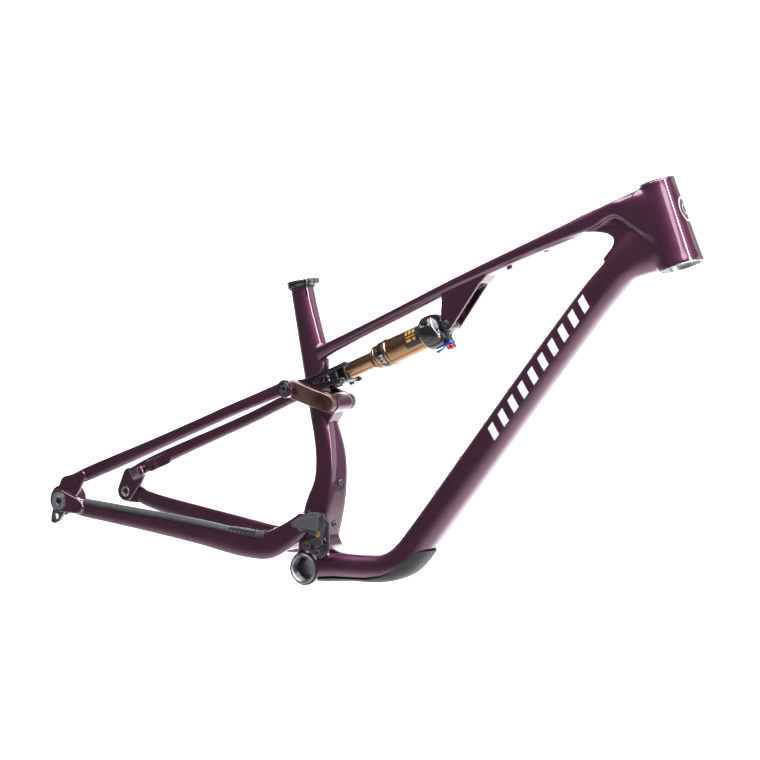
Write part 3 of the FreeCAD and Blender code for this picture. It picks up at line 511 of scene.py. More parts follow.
def plum_lacquer():
    """Dark metallic base with a fine sparkle under a clear, slightly rippled coat."""
    s = Shader("plum metallic lacquer")
    base = s.ramp(s.noise(70.0, 3.0), (0.3, (0.080, 0.018, 0.047)), (0.7, (0.106, 0.025, 0.064)))
    sparkle = s.math("MULTIPLY", s.math("POWER", s.cells(0.35)["Distance"], 3.0), 0.5)
    s.set(Base_Color=s.mix(sparkle, base, (0.27, 0.10, 0.19)), Metallic=0.85,
          Roughness=s.range(s.noise(9.0, 3.0), 0.30, 0.38), Normal=s.bump(s.noise(0.7, 2.0), 0.006),
          Coat_Weight=1.0, Coat_Roughness=0.02, Coat_IOR=1.7, Coat_Normal=s.bump(s.noise(5.0, 2.0, 0.5), 0.012))
    return s.mat


# slot: name, dark and light colour, metallic, roughness, sizes of the clouds and of the grain, the grain's relief
BY_SLOT = {
    "plum_paint": plum_lacquer(),
    "machined_alloy": finish_of(
        "machined alloy", (0.42, 0.43, 0.45), (0.58, 0.59, 0.61), 1.0, (0.22, 0.36), 8.0, 0.5, 0.01,
        wear_and_highlight=(0.8, 0.8, 0.82)),
    "black_anodised": finish_of(
        "black anodised alloy", (0.008, 0.008, 0.010), (0.017, 0.017, 0.020), 0.5, (0.2, 0.32), 10.0, 0.35, 0.006,
        coat=0.5, wear_and_highlight=(0.22, 0.22, 0.23), coat_rough=0.1),
    "brown_anodised": finish_of(
        "brown anodised alloy", (0.070, 0.028, 0.024), (0.115, 0.050, 0.040), 0.85, (0.28, 0.40), 22.0, 0.4, 0.008,
        coat=0.3, wear_and_highlight=(0.5, 0.33, 0.31)),
    "steel_fixings": finish_of(
        "black oxide steel", (0.012, 0.012, 0.014), (0.032, 0.032, 0.036), 0.8, (0.2, 0.38), 4.0, 0.3, 0.008,
        wear_and_highlight=(0.4, 0.4, 0.42)),
    "bearing_steel": finish_of(
        "bearing steel", (0.35, 0.35, 0.37), (0.5, 0.5, 0.52), 1.0, (0.2, 0.35), 5.0, 0.4, 0.008),
    "grey_rubber": finish_of(
        "grey moulded rubber", (0.020, 0.020, 0.024), (0.036, 0.036, 0.041), 0.0, (0.42, 0.6), 9.0, 0.6, 0.05),
    "black_rubber": finish_of(
        "black rubber", (0.008, 0.008, 0.008), (0.016, 0.016, 0.016), 0.0, (0.5, 0.7), 5.0, 0.5, 0.04),
    "black_plastic": finish_of(
        "black moulded plastic", (0.006, 0.006, 0.008), (0.014, 0.014, 0.017), 0.0, (0.26, 0.4), 7.0, 0.5, 0.02,
        coat=0.3, wear_and_highlight=(0.12, 0.12, 0.13)),
    "brass_bolt": finish_of(
        "brass screw", (0.55, 0.36, 0.12), (0.72, 0.5, 0.2), 1.0, (0.2, 0.35), 2.5, 0.3, 0.01),
    "gloss_black": finish_of(
        "gloss black casting", (0.006, 0.006, 0.007), (0.014, 0.014, 0.016), 0.2, (0.18, 0.30), 14.0, 0.8, 0.01,
        coat=1.0, wear_and_highlight=(0.08, 0.08, 0.09), coat_rough=0.05),
    "gold_anodised": finish_of(
        "gold anodised alloy", (0.30, 0.175, 0.10), (0.38, 0.23, 0.135), 1.0, (0.2, 0.3), 16.0, 0.4, 0.005,
        wear_and_highlight=(0.7, 0.52, 0.36), stretch=(1.0, 6.0, 1.0)),
    "blue_anodised": finish_of(
        "blue anodised alloy", (0.004, 0.10, 0.55), (0.012, 0.18, 0.75), 0.85, (0.2, 0.32), 5.0, 0.3, 0.01,
        wear_and_highlight=(0.3, 0.5, 0.9)),
    "red_anodised": finish_of(
        "red anodised alloy", (0.50, 0.01, 0.02), (0.70, 0.025, 0.04), 0.85, (0.2, 0.32), 5.0, 0.3, 0.01,
        wear_and_highlight=(0.9, 0.4, 0.4))}
NODE_SLOT = {entry["node"]: entry["material_slot"] for entry in frame["record"]["subparts"]}
NODE_BODY = {node: body for body, nodes in frame["record"]["behaviour"]["bodies"].items() for node in nodes}
for node, slot in NODE_SLOT.items():
    mesh = NODES[node].data
    mesh.materials.clear()
    mesh.materials.append(BY_SLOT[slot])


def finish_piece(ob, body, slot, material=None):
    ob.data.materials.clear()
    ob.data.materials.append(material or BY_SLOT[slot])
    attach(ob, body)


def stand_in(ob, node, material=None):
    """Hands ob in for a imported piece, with that piece's body and slot."""
    finish_piece(ob, NODE_BODY[node], NODE_SLOT[node], material)
    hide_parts(node)
    return ob


# ---------------- front frame
# x, z, tilt, half depth, half width, ledge below the centre, recess under the ledge
TOP_TUBE = [(-30, 312, 30, 11, 14, 4.5, 1), (-12, 322.5, 30, 10.2, 16.2, 3.4, 1),
            (4, 332, 30, 9.5, 17, 2.5, 1), (62, 365, 29.5, 8.5, 17, 1, 1.2),
            (120, 398, 29.2, 8.5, 17.2, 1.1, 1.5), (186, 436.5, 29, 8.5, 17.5, 3.6, 1.7),
            (248, 470.5, 28.5, 9.2, 18.2, 5.2, 2), (312, 504.5, 28, 10, 19, 7, 2.4),
            (366, 532, 27.5, 11.8, 20.2, 8.6, 3.2), (420, 560, 27, 13.5, 21.8, 11.6, 4.6)]
# the panel that carries the top tube's side on to the head tube: x, z, tilt, depth, width
PANEL = [(431.6, 568.3, 26, 21.3, 44.5), (445.8, 575.4, 25.5, 22.4, 46), (456.1, 576.4, 25, 30.5, 47.5),
         (467.4, 574.4, 25, 44.7, 49), (484.3, 572.5, 25, 64.3, 51.5), (499.8, 571.5, 25, 81, 53.5),
         (515, 571, 25, 92, 54)]
# x, z, tilt, depth, width
DOWN_TUBE = [(2, 1, 8, 42, 63), (55, 11.5, 10, 42, 62), (103, 18, 11, 41, 58), (129, 23.5, 24, 41, 55),
             (150, 34, 42, 44, 52), (166, 50, 55, 46, 48), (182, 73.5, 57.6, 46, 45), (266, 205, 57.6, 47, 41),
             (352, 340, 57.6, 47, 41), (432, 460.8, 57.3, 46, 42), (457.8, 492.8, 60.5, 48, 43),
             (474, 508.7, 51.6, 59, 43), (493, 523, 43.3, 70, 45), (512, 536, 38, 80, 47)]
# x, z, tilt, depth, width, upper power, lower power
SEAT_LOWER = [(-22, 264, 106.6, 35, 35, 2, 2), (-12.5, 233, 106.6, 35.4, 36, 2.1, 2.3),
              (0, 202, 106, 35.5, 41, 2.6, 3.2), (10, 166, 100, 35, 45, 3.2, 5.5), (12, 132, 90, 37, 48, 3.2, 7),
              (7, 100, 82, 45, 54, 3.2, 7), (2, 68, 86, 48, 57, 3.2, 6), (0, 35, 90, 46, 58, 3.2, 3.2),
              (0, 2, 90, 42, 58, 3.2, 3.2)]
# distance below the seat tube's top, depth front to back
SEAT_FLARE = [(1, 35), (40, 37), (75, 40.5), (105, 43.5), (128, 41), (156, 35.4)]
EAR_INNER, EAR_OUTER = 10.3, 15.6
GUIDE_BOSSES = [(12, 37), (29.5, 30.5)]
SHELL_OUTER_R, SHELL_SEAT_R = 25.5, 22.5
HEADSET_SEAT_LOW_R, HEADSET_SEAT_TOP_R = 29.6, 23.6
SEATPOST_R = 15.45
FRAME_VOXEL, SWINGARM_VOXEL, SEATSTAY_VOXEL = 1.48, 1.43, 1.27     # the finer the stay, the finer its skin


COLLAR_TURN, SLOT_TURN = -19, -39     # how far the collar and the tube's slot are turned about the seat tube


def on_seat(ob, turn):
    """Stands a piece built about +Z on top of the seat tube, turned about it."""
    ob.data.transform(Matrix.Rotation(math.radians(turn), 4, "Z"))
    ob.data.transform(Matrix.Rotation(math.radians(-(90 - SEAT_ANGLE)), 4, "Y"))
    ob.data.transform(Matrix.Translation(SEAT_END * MM))
    return ob


def front_frame():
    parts = [rod("seat", tuple(SEAT_END), -SEAT_UP, SEAT_TUBE_R, 186)]
    parts.append(tube("seat_low", [(x, z, 0, t, d, w, hi, lo) for x, z, t, d, w, hi, lo in SEAT_LOWER]))
    ahead = Vector((math.sin(math.radians(SEAT_ANGLE)), 0, math.cos(math.radians(SEAT_ANGLE))))
    flare = []
    for below, depth in SEAT_FLARE:
        p = SEAT_END - SEAT_UP * below + ahead * (depth / 2 - SEAT_TUBE_R)
        flare.append((p.x, p.z, 0, 180 - SEAT_ANGLE, depth, 2 * SEAT_TUBE_R, 2.0, 2.0))
    parts.append(tube("seat_flare", flare))
    upper, lower = [], []
    for x, z, tilt, half, half_width, ledge, recess in TOP_TUBE:
        nx, nz = tilt_normal(tilt)
        rise = (half - ledge) / 2
        upper.append((x + nx * rise, z + nz * rise, 0, tilt, half + ledge, 2 * half_width, 3.6, 9.0))
        lower.append((x, z, 0, tilt, 2 * half, 2 * (half_width - recess), 4.0, 4.6))
    upper += [(x, z, 0, t, d, w, 4.2, 9.0) for x, z, t, d, w in PANEL]
    lower.append((450, 562, 0, 26, 22, 33, 4.0, 4.0))
    parts.append(tube("top_upper", upper, around=96, step=2.5))
    parts.append(tube("top_lower", lower, step=3.0))
    parts.append(tube("down", [(x, z, 0, t, d, w, 3.0, 2.7) for x, z, t, d, w in DOWN_TUBE], around=96))
    corner = [(385, 533), (406, 539.5), (420, 541.5), (438, 541), (447.8, 537), (450, 531), (447.5, 523), (436, 506),
              (470, 480), (520, 540), (480, 585), (400, 560)]
    boss_web = outline([(-8, 262, 0), (-8, 212, 0), (6, 218, 4), (13, 236, 6), (16, 252, 8)])
    foot = [(5, 70), (21, 62), (24.6, 48.4), (31.4, 38), (41.6, 34.5), (58, 32.5), (58, 15), (5, 5)]
    ear = outline([EYE + (9.5,), (251, 468, 4), (191, 430, 5)])
    ear_root = outline([(194, 428, 5), (246, 457, 4), (258, 474, 5), (190, 436, 5)])
    parts += [
        turned("head", tuple(HEAD_END_LOW), HEAD_UP,
               [(0, 0), (0, 31.8), (6, 31.6), (60, 28.3), (112, 25.3), (118, 25.2), (118, 0)]),
        slab("web", corner, -15.5, 15.5),
        cross_rod("shell", (0, 0), SHELL_OUTER_R, -32, 32),
        cross_rod("housing", MAIN, 17.5, -29.5, 29.5),
        cross_rod("rocker_boss", ROCKER, 14.0, -18.3, 18.3),
        slab("boss_web", boss_web, -14.5, 14.5),
        slab("foot", foot, -20, 20),
        slab("ear", ear, -EAR_INNER, -EAR_OUTER),
        slab("ear", ear, EAR_INNER, EAR_OUTER),
        slab("ear_root", ear_root, -EAR_OUTER, EAR_OUTER)]
    parts += [cross_rod("guide_boss", xz, 5.5, -18, -38.5) for xz in GUIDE_BOSSES]
    body = merge("frame_shell", parts, FRAME_VOXEL, 8)

    def near_head(p):
        # round the joints at the head tube more than the tubes themselves
        axis = np.array((HEAD_UP.x, 0, HEAD_UP.z))
        rel = p - np.array(HEAD_END_LOW)
        up = rel @ axis
        out = np.linalg.norm(rel - up[:, None] * axis, axis=1)
        return np.clip(1 - np.abs(out - 31) / 12, 0, 1) * np.clip((p[:, 0] - 478) / 10, 0, 1) \
            * np.clip((up - 4) / 8, 0, 1) * np.clip((114 - up) / 8, 0, 1)

    relax(body, 60, near_head, back=0)

    def near_nodes(p):
        d1 = np.hypot(p[:, 0] - 5, p[:, 2] - 336)
        d2 = np.hypot(p[:, 0] - 2, p[:, 2] - 40)
        return np.clip(1.3 - d1 / 32, 0, 1) + 0.8 * np.clip(1.3 - d2 / 40, 0, 1)

    relax(body, 12, near_nodes, back=-0.3)

    def near_ledge(p):
        # the cove under the ledge that runs on to the head tube
        d = np.hypot((p[:, 0] - 452) / 46, (p[:, 2] - 548) / 22)
        return np.clip(1.6 - 1.4 * d, 0, 0.9)

    relax(body, 14, near_ledge, back=-0.2)

    cutters = [
        turned("c", tuple(HEAD_END_LOW - HEAD_UP * 2), HEAD_UP,
               [(0, 0), (0, HEADSET_SEAT_LOW_R), (18, HEADSET_SEAT_LOW_R), (18, 25), (106, 21),
                (106, HEADSET_SEAT_TOP_R), (122, HEADSET_SEAT_TOP_R), (122, 0)]),
        rod("c", tuple(SEAT_END + SEAT_UP * 3), -SEAT_UP, SEATPOST_R, 134),
        cross_rod("c", (0, 0), SHELL_SEAT_R, -60, 60),
        turned("c", (MAIN[0], -50, MAIN[1]), AXIS_Y,
               [(0, 0), (0, 14), (28.5, 14), (28.5, 11), (71.5, 11), (71.5, 14), (100, 14), (100, 0)]),
        turned("c", (ROCKER[0], -50, ROCKER[1]), AXIS_Y,
               [(0, 0), (0, 11), (37.7, 11), (37.7, 9), (62.3, 9), (62.3, 11), (100, 11), (100, 0)]),
        cross_rod("c", EYE, 4.0, -40, 40, 48)]
    cut(body, [join("cutters", cutters)])
    cut(body, [on_seat(slab("slot", [(6, 3), (22, 3), (22, -22), (6, -22)], -1.5, 1.5), SLOT_TURN)])
    return stand_in(shade(body, 40), "front_triangle")


frame_shell = front_frame()


# ---------------- rear triangle
# x, z, tilt, depth, width, y
CHAINSTAY = [(-2, 69.5, 218, 31, 11.4, 36.2), (-28, 47, 218, 36, 12.4, 37.4), (-60, 26, 200, 41, 15, 40.4),
             (-100, 20.5, 181, 39, 17, 43.5), (-185, 24, 179, 35, 17, 48.5), (-270, 27, 179, 31, 16, 59),
             (-345, 29, 179, 28, 14, 69.5), (-392, 31, 178, 26, 11.5, 80), (-410, 33, 177, 24, 9.6, 83.6)]
SEATSTAY = [(-56, 262.3, 208, 20, 11.5, 43.2), (-90, 244.5, 208, 18.5, 12.5, 48), (-132, 222, 208, 18, 14.5, 55.5),
            (-182, 194.5, 207.6, 18, 16, 61), (-240, 163.8, 207.5, 18.5, 16.5, 62.5),
            (-300, 132.5, 207.5, 20, 16, 63.5), (-350, 106.5, 207.5, 21.5, 14.5, 66.5),
            (-394, 83.5, 208, 21, 12, 71), (-424, 66.5, 212, 19, 8, 75.6)]
BRAKE_POSTS = [(-392, 73), (-358, 91)]
BRAKE_POST_Y = 62
STAY_CAP_R = 10.2
STAY_BOLT_R = 4
YOKE_INNER, YOKE_OUTER = 18.5, 24


def stay_rows(rows, high, low):
    # the rows' tilt runs rearwards, so the section's upper half is its lower power
    return [(x, z, y, tilt, depth, width, low, high) for x, z, tilt, depth, width, y in rows]


def swingarm():
    parts = []
    for side in (RIGHT, LEFT):
        parts.append(tube("arm", stay_rows(CHAINSTAY, 3.8, 3.0), side))
        parts.append(cross_rod("eye", MAIN, 15.5, side * 30.2, side * 41.5))
        parts.append(slab("boss", outline([AXLE + (18.0,), (-398, 33, 11.5)], 14), side * 80, side * 88.6))
    parts.append(slab("bridge", outline([(-50, 27, 11), (-38, 44, 8), (-50, 46, 8)]), -38, 38))
    body = merge("swingarm", parts, SWINGARM_VOXEL, 12)
    cutters = [cross_rod("c", MAIN, 19.5, -30, 30), cross_rod("c", MAIN, 8.0, -60, 60, 48)]
    cut(body, cutters)
    for side in (RIGHT, LEFT):
        cut(body, [cross_rod("c", MAIN, 11.5, side * 39, side * 60), cross_rod("c", AXLE, 24, side * 50, side * 80),
                   turned("c", (AXLE[0], side * 79, AXLE[1]), (0, side, 0),
                          [(0, 0), (0, 15), (8.2, 15), (9.7, 16.2), (20, 16.2), (20, 0)])])
    stand_in(shade(body, 40), "chainstay")


def seatstay(side):
    foot = outline([AXLE + (16,), (-412, 60, 10), (-400, 80, 6.5), (-429, 62, 13.5)], 12)
    parts = [tube("stay", stay_rows(SEATSTAY, 4.2, 3.2), side),
             cross_rod("eye", STAY, 13.5, side * 37, side * 48.7),
             slab("foot", foot, side * 74.2, side * 79.4)]
    tilt = math.radians(27.5)
    down = Vector((math.sin(tilt), 0, -math.cos(tilt)))
    if side > 0:
        for x, z in BRAKE_POSTS:
            parts.append(rod("post", tuple(Vector((x, BRAKE_POST_Y, z)) - down * 11), down, 6.4, 13))
        parts.append(slab("rib", outline([(-372, 83, 3), (-338, 101, 3), (-336, 112, 4), (-380, 92, 4)]), 57, 62))
    name = "seatstay_" + side_name(side)
    body = merge(name, parts, SEATSTAY_VOXEL, 18)
    cutters = [cross_rod("c", AXLE, 19.5, side * 79.5, side * 120),
               cross_rod("c", AXLE, 8.5, side * 60, side * 79),
               cross_rod("c", STAY, STAY_BOLT_R, side * 20, side * 46, 48),
               cross_rod("c", STAY, STAY_CAP_R, side * 46.5, side * 70),
               cross_rod("c", STAY, 30, side * 10, side * 36.8)]
    if side > 0:
        for x, z in BRAKE_POSTS:
            cutters.append(rod("c", tuple(Vector((x, BRAKE_POST_Y, z)) + down * 3), -down, 2.5, 12, 32))
    cut(body, cutters)
    stand_in(shade(body, 40), name)


def rocker_arm(side):
    """Flat-sided arm that steps outwards behind its front eye."""
    angle = math.degrees(math.atan2(STAY[1] - ROCKER[1], STAY[0] - ROCKER[0]))
    reach = math.hypot(STAY[0] - ROCKER[0], STAY[1] - ROCKER[1])
    arm = slab("arm", outline([ROCKER + (13,), STAY + (13.5,)], 16), side * 18, side * 37)
    plan = [(-20, 18.8), (13, 18.8), (18, 21), (24.5, 24.6), (reach + 20, 24.6), (reach + 20, 36), (24.5, 35.2),
            (13, 31.2), (-20, 31)]
    verts = [(d, y * side, z) for z in (-40, 40) for d, y in plan]
    room = add("room", verts, prism_faces(len(plan)), smooth=False)
    room.data.transform(Matrix.Rotation(math.radians(-angle), 4, "Y"))
    room.data.transform(Matrix.Translation(Vector((ROCKER[0], 0, ROCKER[1])) * MM))
    cut(arm, [room], operation="INTERSECT")
    bevel(arm, 2, 4, 40)
    cut(arm, [turned("c", (STAY[0], side * 10, STAY[1]), (0, side, 0),
                     [(0, 0), (0, 11), (25.2, 11), (26.2, 12), (40, 12), (40, 0)]),
              cross_rod("c", ROCKER, 7.5, side * 10, side * 29)])
    stand_in(shade(arm, 32), "rocker_arm_" + side_name(side))


swingarm()
for side in (RIGHT, LEFT):
    seatstay(side)
    rocker_arm(side)


# ---------------- shock
def shock_lathe(name, profile):
    """Turned about the shock's line; profile is (station, radius)."""
    return turned(name, on_shock(0), DOWN, profile, 128)


def shock_slab(stations, y0, y1, name="rail"):
    """Plate whose side outline is given as (station, rise, corner radius)."""
    circles = [on_shock_xz(station, rise) + (corner,) for station, rise, corner in stations]
    return slab(name, outline(circles), y0, y1)


CONTROLS = 12                          # station of the lever and the knob
HEAD_PROFILE = [(9.9, 0), (9.9, 12), (12, 18), (16.5, 22.6), (24, 25.2), (33, 26), (39, 25.6), (41.4, 24.4),
                (42, 22.8), (42, 16.9), (40, 16.9), (40, 0)]


def shock_head():
    body = shock_lathe("shock_head", rounded(HEAD_PROFILE, 2.4, 5))
    eye = shock_slab([(0, 0, 9.5), (17, 9, 2), (17, -9, 2)], -9.9, 9.9, "eye")
    bevel(eye, 1.2)
    neck = shock_slab([(2, 5, 5.5), (21, 15, 4), (21, -15, 4), (2, -5, 5.5)], -7.5, 7.5, "neck")
    bevel(neck, 2.2, 4)
    barrel = turned("barrel", on_shock(CONTROLS, -6), BELOW,
                    rounded([(0, 0), (0, 6), (9.5, 6), (10.5, 5.2), (12, 5.2), (13, 6), (16, 6), (16, 0)], 0.5))
    for other in (eye, neck, barrel):
        cut(body, [other], operation="UNION")
    cut(body, [cross_rod("c", EYE, 7.0, -20, 20)])
    # cast relief on both flanks
    for side in (RIGHT, LEFT):
        for rise in (13.0, -14.0):
            pocket = shock_slab([(26, rise + 2, 1.6), (35, rise + 1, 1.6), (35, rise - 3, 1.6), (26, rise - 2, 1.6)],
                                side * 21.4, side * 40, "pocket")
            cut(body, [pocket])
    stand_in(shade(body, 30), "shock_head")


def head_ridge_highlight():
    """Bright S-shaped ridge on each flank of the shock's head: partly a raised trim, partly a painted highlight
    where the glossy head shows a reflection.
    """
    pieces = []
    for side in (RIGHT, LEFT):
        path = [(20.5, 18.0), (19.5, 13.0), (19.3, 8.0), (18.3, 3.0), (16.6, -2.0), (15.6, -8.0), (16.2, -14.0)]
        width = [1.2, 1.9, 1.6, 1.1, 1.0, 1.4, 1.9]
        stations, radii = zip(*HEAD_PROFILE[1:9])
        rows = []
        for (station, rise), w in zip(path, width):
            y = side * math.sqrt(max(1.0, (np.interp(station, stations, radii) - 0.1) ** 2 - rise ** 2))
            x, _, z = on_shock(station, rise)
            rows.append((x, y, z, w))
        rows = catmull(rows, 1.2)
        verts = []
        around = 12
        for k, (x, y, z, w) in enumerate(rows):
            p = Vector((x, y, z))
            ahead = Vector(rows[min(k + 1, len(rows) - 1)][:3]) - Vector(rows[max(k - 1, 0)][:3])
            out = (p - SHOCK_FOOT) - DOWN * (p - SHOCK_FOOT).dot(DOWN)
            out.normalize()
            across = ahead.cross(out).normalized()
            for a in turns(around):
                verts.append(tuple(p + across * (w * math.cos(a)) + out * (0.6 * math.sin(a))))
        pieces.append(add("ridge", verts, skin_faces(len(rows), around)))
    trim = join("shock_head_trim_highlight", pieces)
    # bright alloy strip that stands for the head's S-shaped reflection as well as for a trim
    finish_piece(shade(trim, 40), "shock_body", "machined_alloy")


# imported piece: corner radius, profile
SHOCK_TURNED = {
    "shock_air_can": (0.35, [(42.3, 17.2), (42.3, 20.8), (45.6, 20.8), (46.2, 19.05), (107.6, 19.05), (109, 20.4),
                             (112.4, 20.4), (113, 19.9), (113, 17), (49, 17), (49, 17.2)]),
    "shock_band": (0.3, [(113.1, 17), (113.1, 19.3), (113.6, 19.7), (122.6, 19.7), (123.4, 19.2), (124, 18.6),
                         (124, 17)]),
    "shock_seal_head": (0.35, [(113, 12.6), (113, 16.9), (124.2, 16.9), (124.3, 18.1), (129.6, 18.1), (130.2, 17.3),
                               (131, 17.3), (131.6, 17.9), (134.6, 17.6), (137, 15.8), (137, 12.6)]),
    "shock_shaft": (0.3, [(106, 9), (106, 12.45), (202.6, 12.45), (203, 12), (203, 0), (184, 0), (184, 9)])}


def shock_round_pieces():
    for node, (corner, profile) in SHOCK_TURNED.items():
        stand_in(shock_lathe(node, rounded(profile, corner)), node)


def film(name, verts, n, m, ring=False):
    """Closes n rows of m outer places and then the same of inner ones into a thin sheet, or into a ring."""
    total = n * m
    faces = []
    for i in range(n if ring else n - 1):
        k = (i + 1) % n
        for j in range(m - 1):
            a, b, c, d = i * m + j, k * m + j, k * m + j + 1, i * m + j + 1
            faces += [(a, b, c, d), (total + a, total + d, total + c, total + b)]
        for j in (0, m - 1):
            faces.append((i * m + j, k * m + j, total + k * m + j, total + i * m + j))
    if not ring:
        for i in (0, n - 1):
            for j in range(m - 1):
                faces.append((i * m + j, i * m + j + 1, total + i * m + j + 1, total + i * m + j))
    return add(name, verts, faces)


def curved_patch(name, radius, stations, angles, lift, thick=0.15, steps=24):
    """Thin closed label wrapped on a round part of the shock; angles from its upper side towards -Y, degrees."""
    verts = []
    nx, ny = 14, steps
    for layer in (lift, lift - thick):
        for i in range(nx + 1):
            d = stations[0] + (stations[1] - stations[0]) * i / nx
            for j in range(ny + 1):
                a = math.radians(angles[0] + (angles[1] - angles[0]) * j / ny)
                out = -BELOW * math.cos(a) + Vector((0, -1, 0)) * math.sin(a)
                verts.append(tuple(SHOCK_FOOT + DOWN * d + out * (radius + layer)))
    return film(name, verts, nx + 1, ny + 1)


CAN_R, BAND_R = 19.05, 19.7


def labels():
    """Plain blocks and bars where the shock has its printed film."""
    film = finish_of("printed black film", (0.012, 0.012, 0.013), (0.02, 0.02, 0.022), 0.0, (0.3, 0.42), 6.0, 0.4,
                     0.004, coat=0.4)
    ink = finish_of("printed amber ink", (0.50, 0.24, 0.03), (0.62, 0.32, 0.05), 0.0, (0.32, 0.45), 3.0, 0.3, 0.004,
                    coat=0.4)
    pale = finish_of("printed silver ink", (0.55, 0.55, 0.56), (0.72, 0.72, 0.73), 0.3, (0.3, 0.42), 3.0, 0.3, 0.004)
    for side in (RIGHT, LEFT):
        tag = side_name(side)
        patch = curved_patch("can_label_" + tag, CAN_R, (46.6, 73), (side * -20, side * -122), 0.12)
        finish_piece(shade(patch, 30), "shock_body", "black_anodised", film)
        bars = []
        for a0, a1, d0, d1 in ((44, 62, 66.5, 69.5), (44, 62, 59.5, 64), (44, 62, 53, 57), (72, 76, 53, 69.5),
                               (84, 96, 61, 69.5), (84, 96, 53, 58)):
            bars.append(curved_patch("bar", CAN_R, (d0, d1), (side * -a0, side * -a1), 0.2, 0.12, 8))
        finish_piece(join("can_marks_" + tag, bars), "shock_body", "gold_anodised", ink)
        bars = []
        for k in range(5):
            start = 52 + 3.6 * k
            bars.append(curved_patch("bar", CAN_R, (start, start + 2.4), (side * -33, side * -37), 0.2, 0.12, 4))
        for k in range(6):
            a0 = 96 + 8 * k
            bars.append(curved_patch("bar", BAND_R, (115.0, 121.6 - (k % 2) * 2.4),
                                     (side * -a0, side * -(a0 + 4.6)), 0.1, 0.12, 6))
        finish_piece(join("small_marks_" + tag, bars), "shock_body", "machined_alloy", pale)


def shock_yoke():
    """Forged fork: open, railed side plates either side of the seat tube, a crosspiece and the shaft's clamp."""
    clamp = shock_slab([(190.4, -11.6, 2.4), (190.4, 11, 2.4), (211, 11, 2), (211, -11.6, 2)],
                       -14.5, 14.5, "clamp")
    bevel(clamp, 1.4, 3)
    cross = shock_slab([(201, -12.2, 2.4), (201, 8.5, 2.4), (211, 8.5, 2), (211, -12.2, 2)], -23, 23, "cross")
    bevel(cross, 1.2, 3)
    body = cut(clamp, [cross], operation="UNION")
    body.name = "shock_yoke"
    for side in (RIGHT, LEFT):
        inner, outer = side * YOKE_INNER, side * YOKE_OUTER
        eye = outline([STAY + (11,), on_shock_xz(247, 6.2) + (5,), on_shock_xz(247, -4.2) + (5,)], 14)
        plates = [slab("eye", eye, inner, outer),
                  shock_slab([(264, 8.5, 4.5), (232, 8.6, 2.6), (179, 8.2, 2.6)], inner, outer),
                  shock_slab([(262, -0.5, 4.5), (230, -8.8, 2.8), (193, -12.4, 2.8)], inner, outer),
                  cross_rod("prong", on_shock_xz(179, 8.2), 3.7, inner, side * 24.4, 48),
                  cross_rod("prong", on_shock_xz(192, -12.6), 4, inner, side * 24.4, 48)]
        web = shock_slab([(262, 4, 8), (199, -12, 2), (199, 8, 2)], side * 18.6, side * 21, "web")
        for a, b, c in (((206, -8.5), (206, 4.4), (216, 4.4)), ((211, -8.6), (221, 3), (227, -6.4)),
                        ((222, 4.6), (237, 4.8), (230, -4.6))):
            cut(web, [shock_slab([a + (1,), b + (1,), c + (1,)], side * 10, side * 30, "window")])
        for plate in plates:
            bevel(plate, 0.8, 3)
        for plate in plates + [web]:
            cut(body, [plate], operation="UNION")
        cut(body, [cross_rod("c", STAY, 7, side * 10, side * 60),
                   cross_rod("c", on_shock_xz(192, -12.6), 2.2, side * 22.6, side * 30, 24)])
    cut(body, [shock_lathe("c", [(170, 0), (170, 12.5), (203, 12.5), (203, 0)])])
    # pinch slot over the clamp
    cut(body, [shock_slab([(186, 8, 0), (186, 20, 0), (199, 20, 0), (199, 8, 0)], -0.9, 0.9, "slit")])
    stand_in(shade(body, 30), "shock_yoke")


def notched(ob, origin, axis, count, depth, low, high):
    """Scallops round a turned piece, between two distances along its axis."""
    co = get_co(ob) / MM
    x, y, z = (np.array(v) for v in basis(axis))
    rel = co - np.array(origin)
    d, u, v = rel @ z, rel @ x, rel @ y
    r = np.hypot(u, v)
    a = np.arctan2(v, u)
    dip = np.clip(np.cos(count * a), 0, 1) ** 2 * depth * (r > r.max() * 0.8) * (d >= low) * (d <= high)
    keep = np.where(r > 1e-6, (r - dip) / np.maximum(r, 1e-6), 1)
    co = np.array(origin) + np.outer(d, z) + np.outer(u * keep, x) + np.outer(v * keep, y)
    set_co(ob, co * MM)
    return ob


def shock_controls():
    collar = turned("lockout_lever", on_shock(CONTROLS, -22.4), BELOW,
                    rounded([(0, 2.6), (0, 6.6), (0.6, 7.2), (3.8, 7.2), (4.4, 6.6), (4.4, 2.6)], 0.3))
    arm = shock_slab([(12, -23.2, 0), (12, -26.2, 0), (20, -26.6, 0), (26, -29.6, 0), (35.5, -31.8, 0),
                      (36.8, -28, 0), (24.5, -27, 0), (19, -24.2, 0)], -4.2, 4.2, "arm")
    bevel(arm, 0.6, 3)
    cut(collar, [arm], operation="UNION")
    cut(collar, [rod("c", on_shock(CONTROLS, -10), BELOW, 2.6, 30, 48)])
    for k in range(3):
        x, y, z = on_shock(28 + 2.8 * k, -30.4 - 0.6 * k)
        cut(collar, [rod("c", (x, -6, z), AXIS_Y, 0.55, 12, 16)])
    stand_in(shade(collar, 30), "lockout_lever")

    origin = on_shock(CONTROLS, -22.2)
    knob = turned("rebound_knob", origin, BELOW,
                  rounded([(0, 0), (0, 2.5), (5, 2.5), (5, 6.4), (5.6, 7.1), (7.6, 7.1), (9.6, 7.1), (10.6, 6.8),
                           (11.3, 5.4), (11.3, 3), (10.7, 2.6), (10.7, 0)], 0.3), 144)
    notched(knob, origin, BELOW, 12, 1.3, 5.2, 11)
    stand_in(shade(knob, 30), "rebound_knob")


shock_head()
head_ridge_highlight()
shock_round_pieces()
labels()
shock_yoke()
shock_controls()


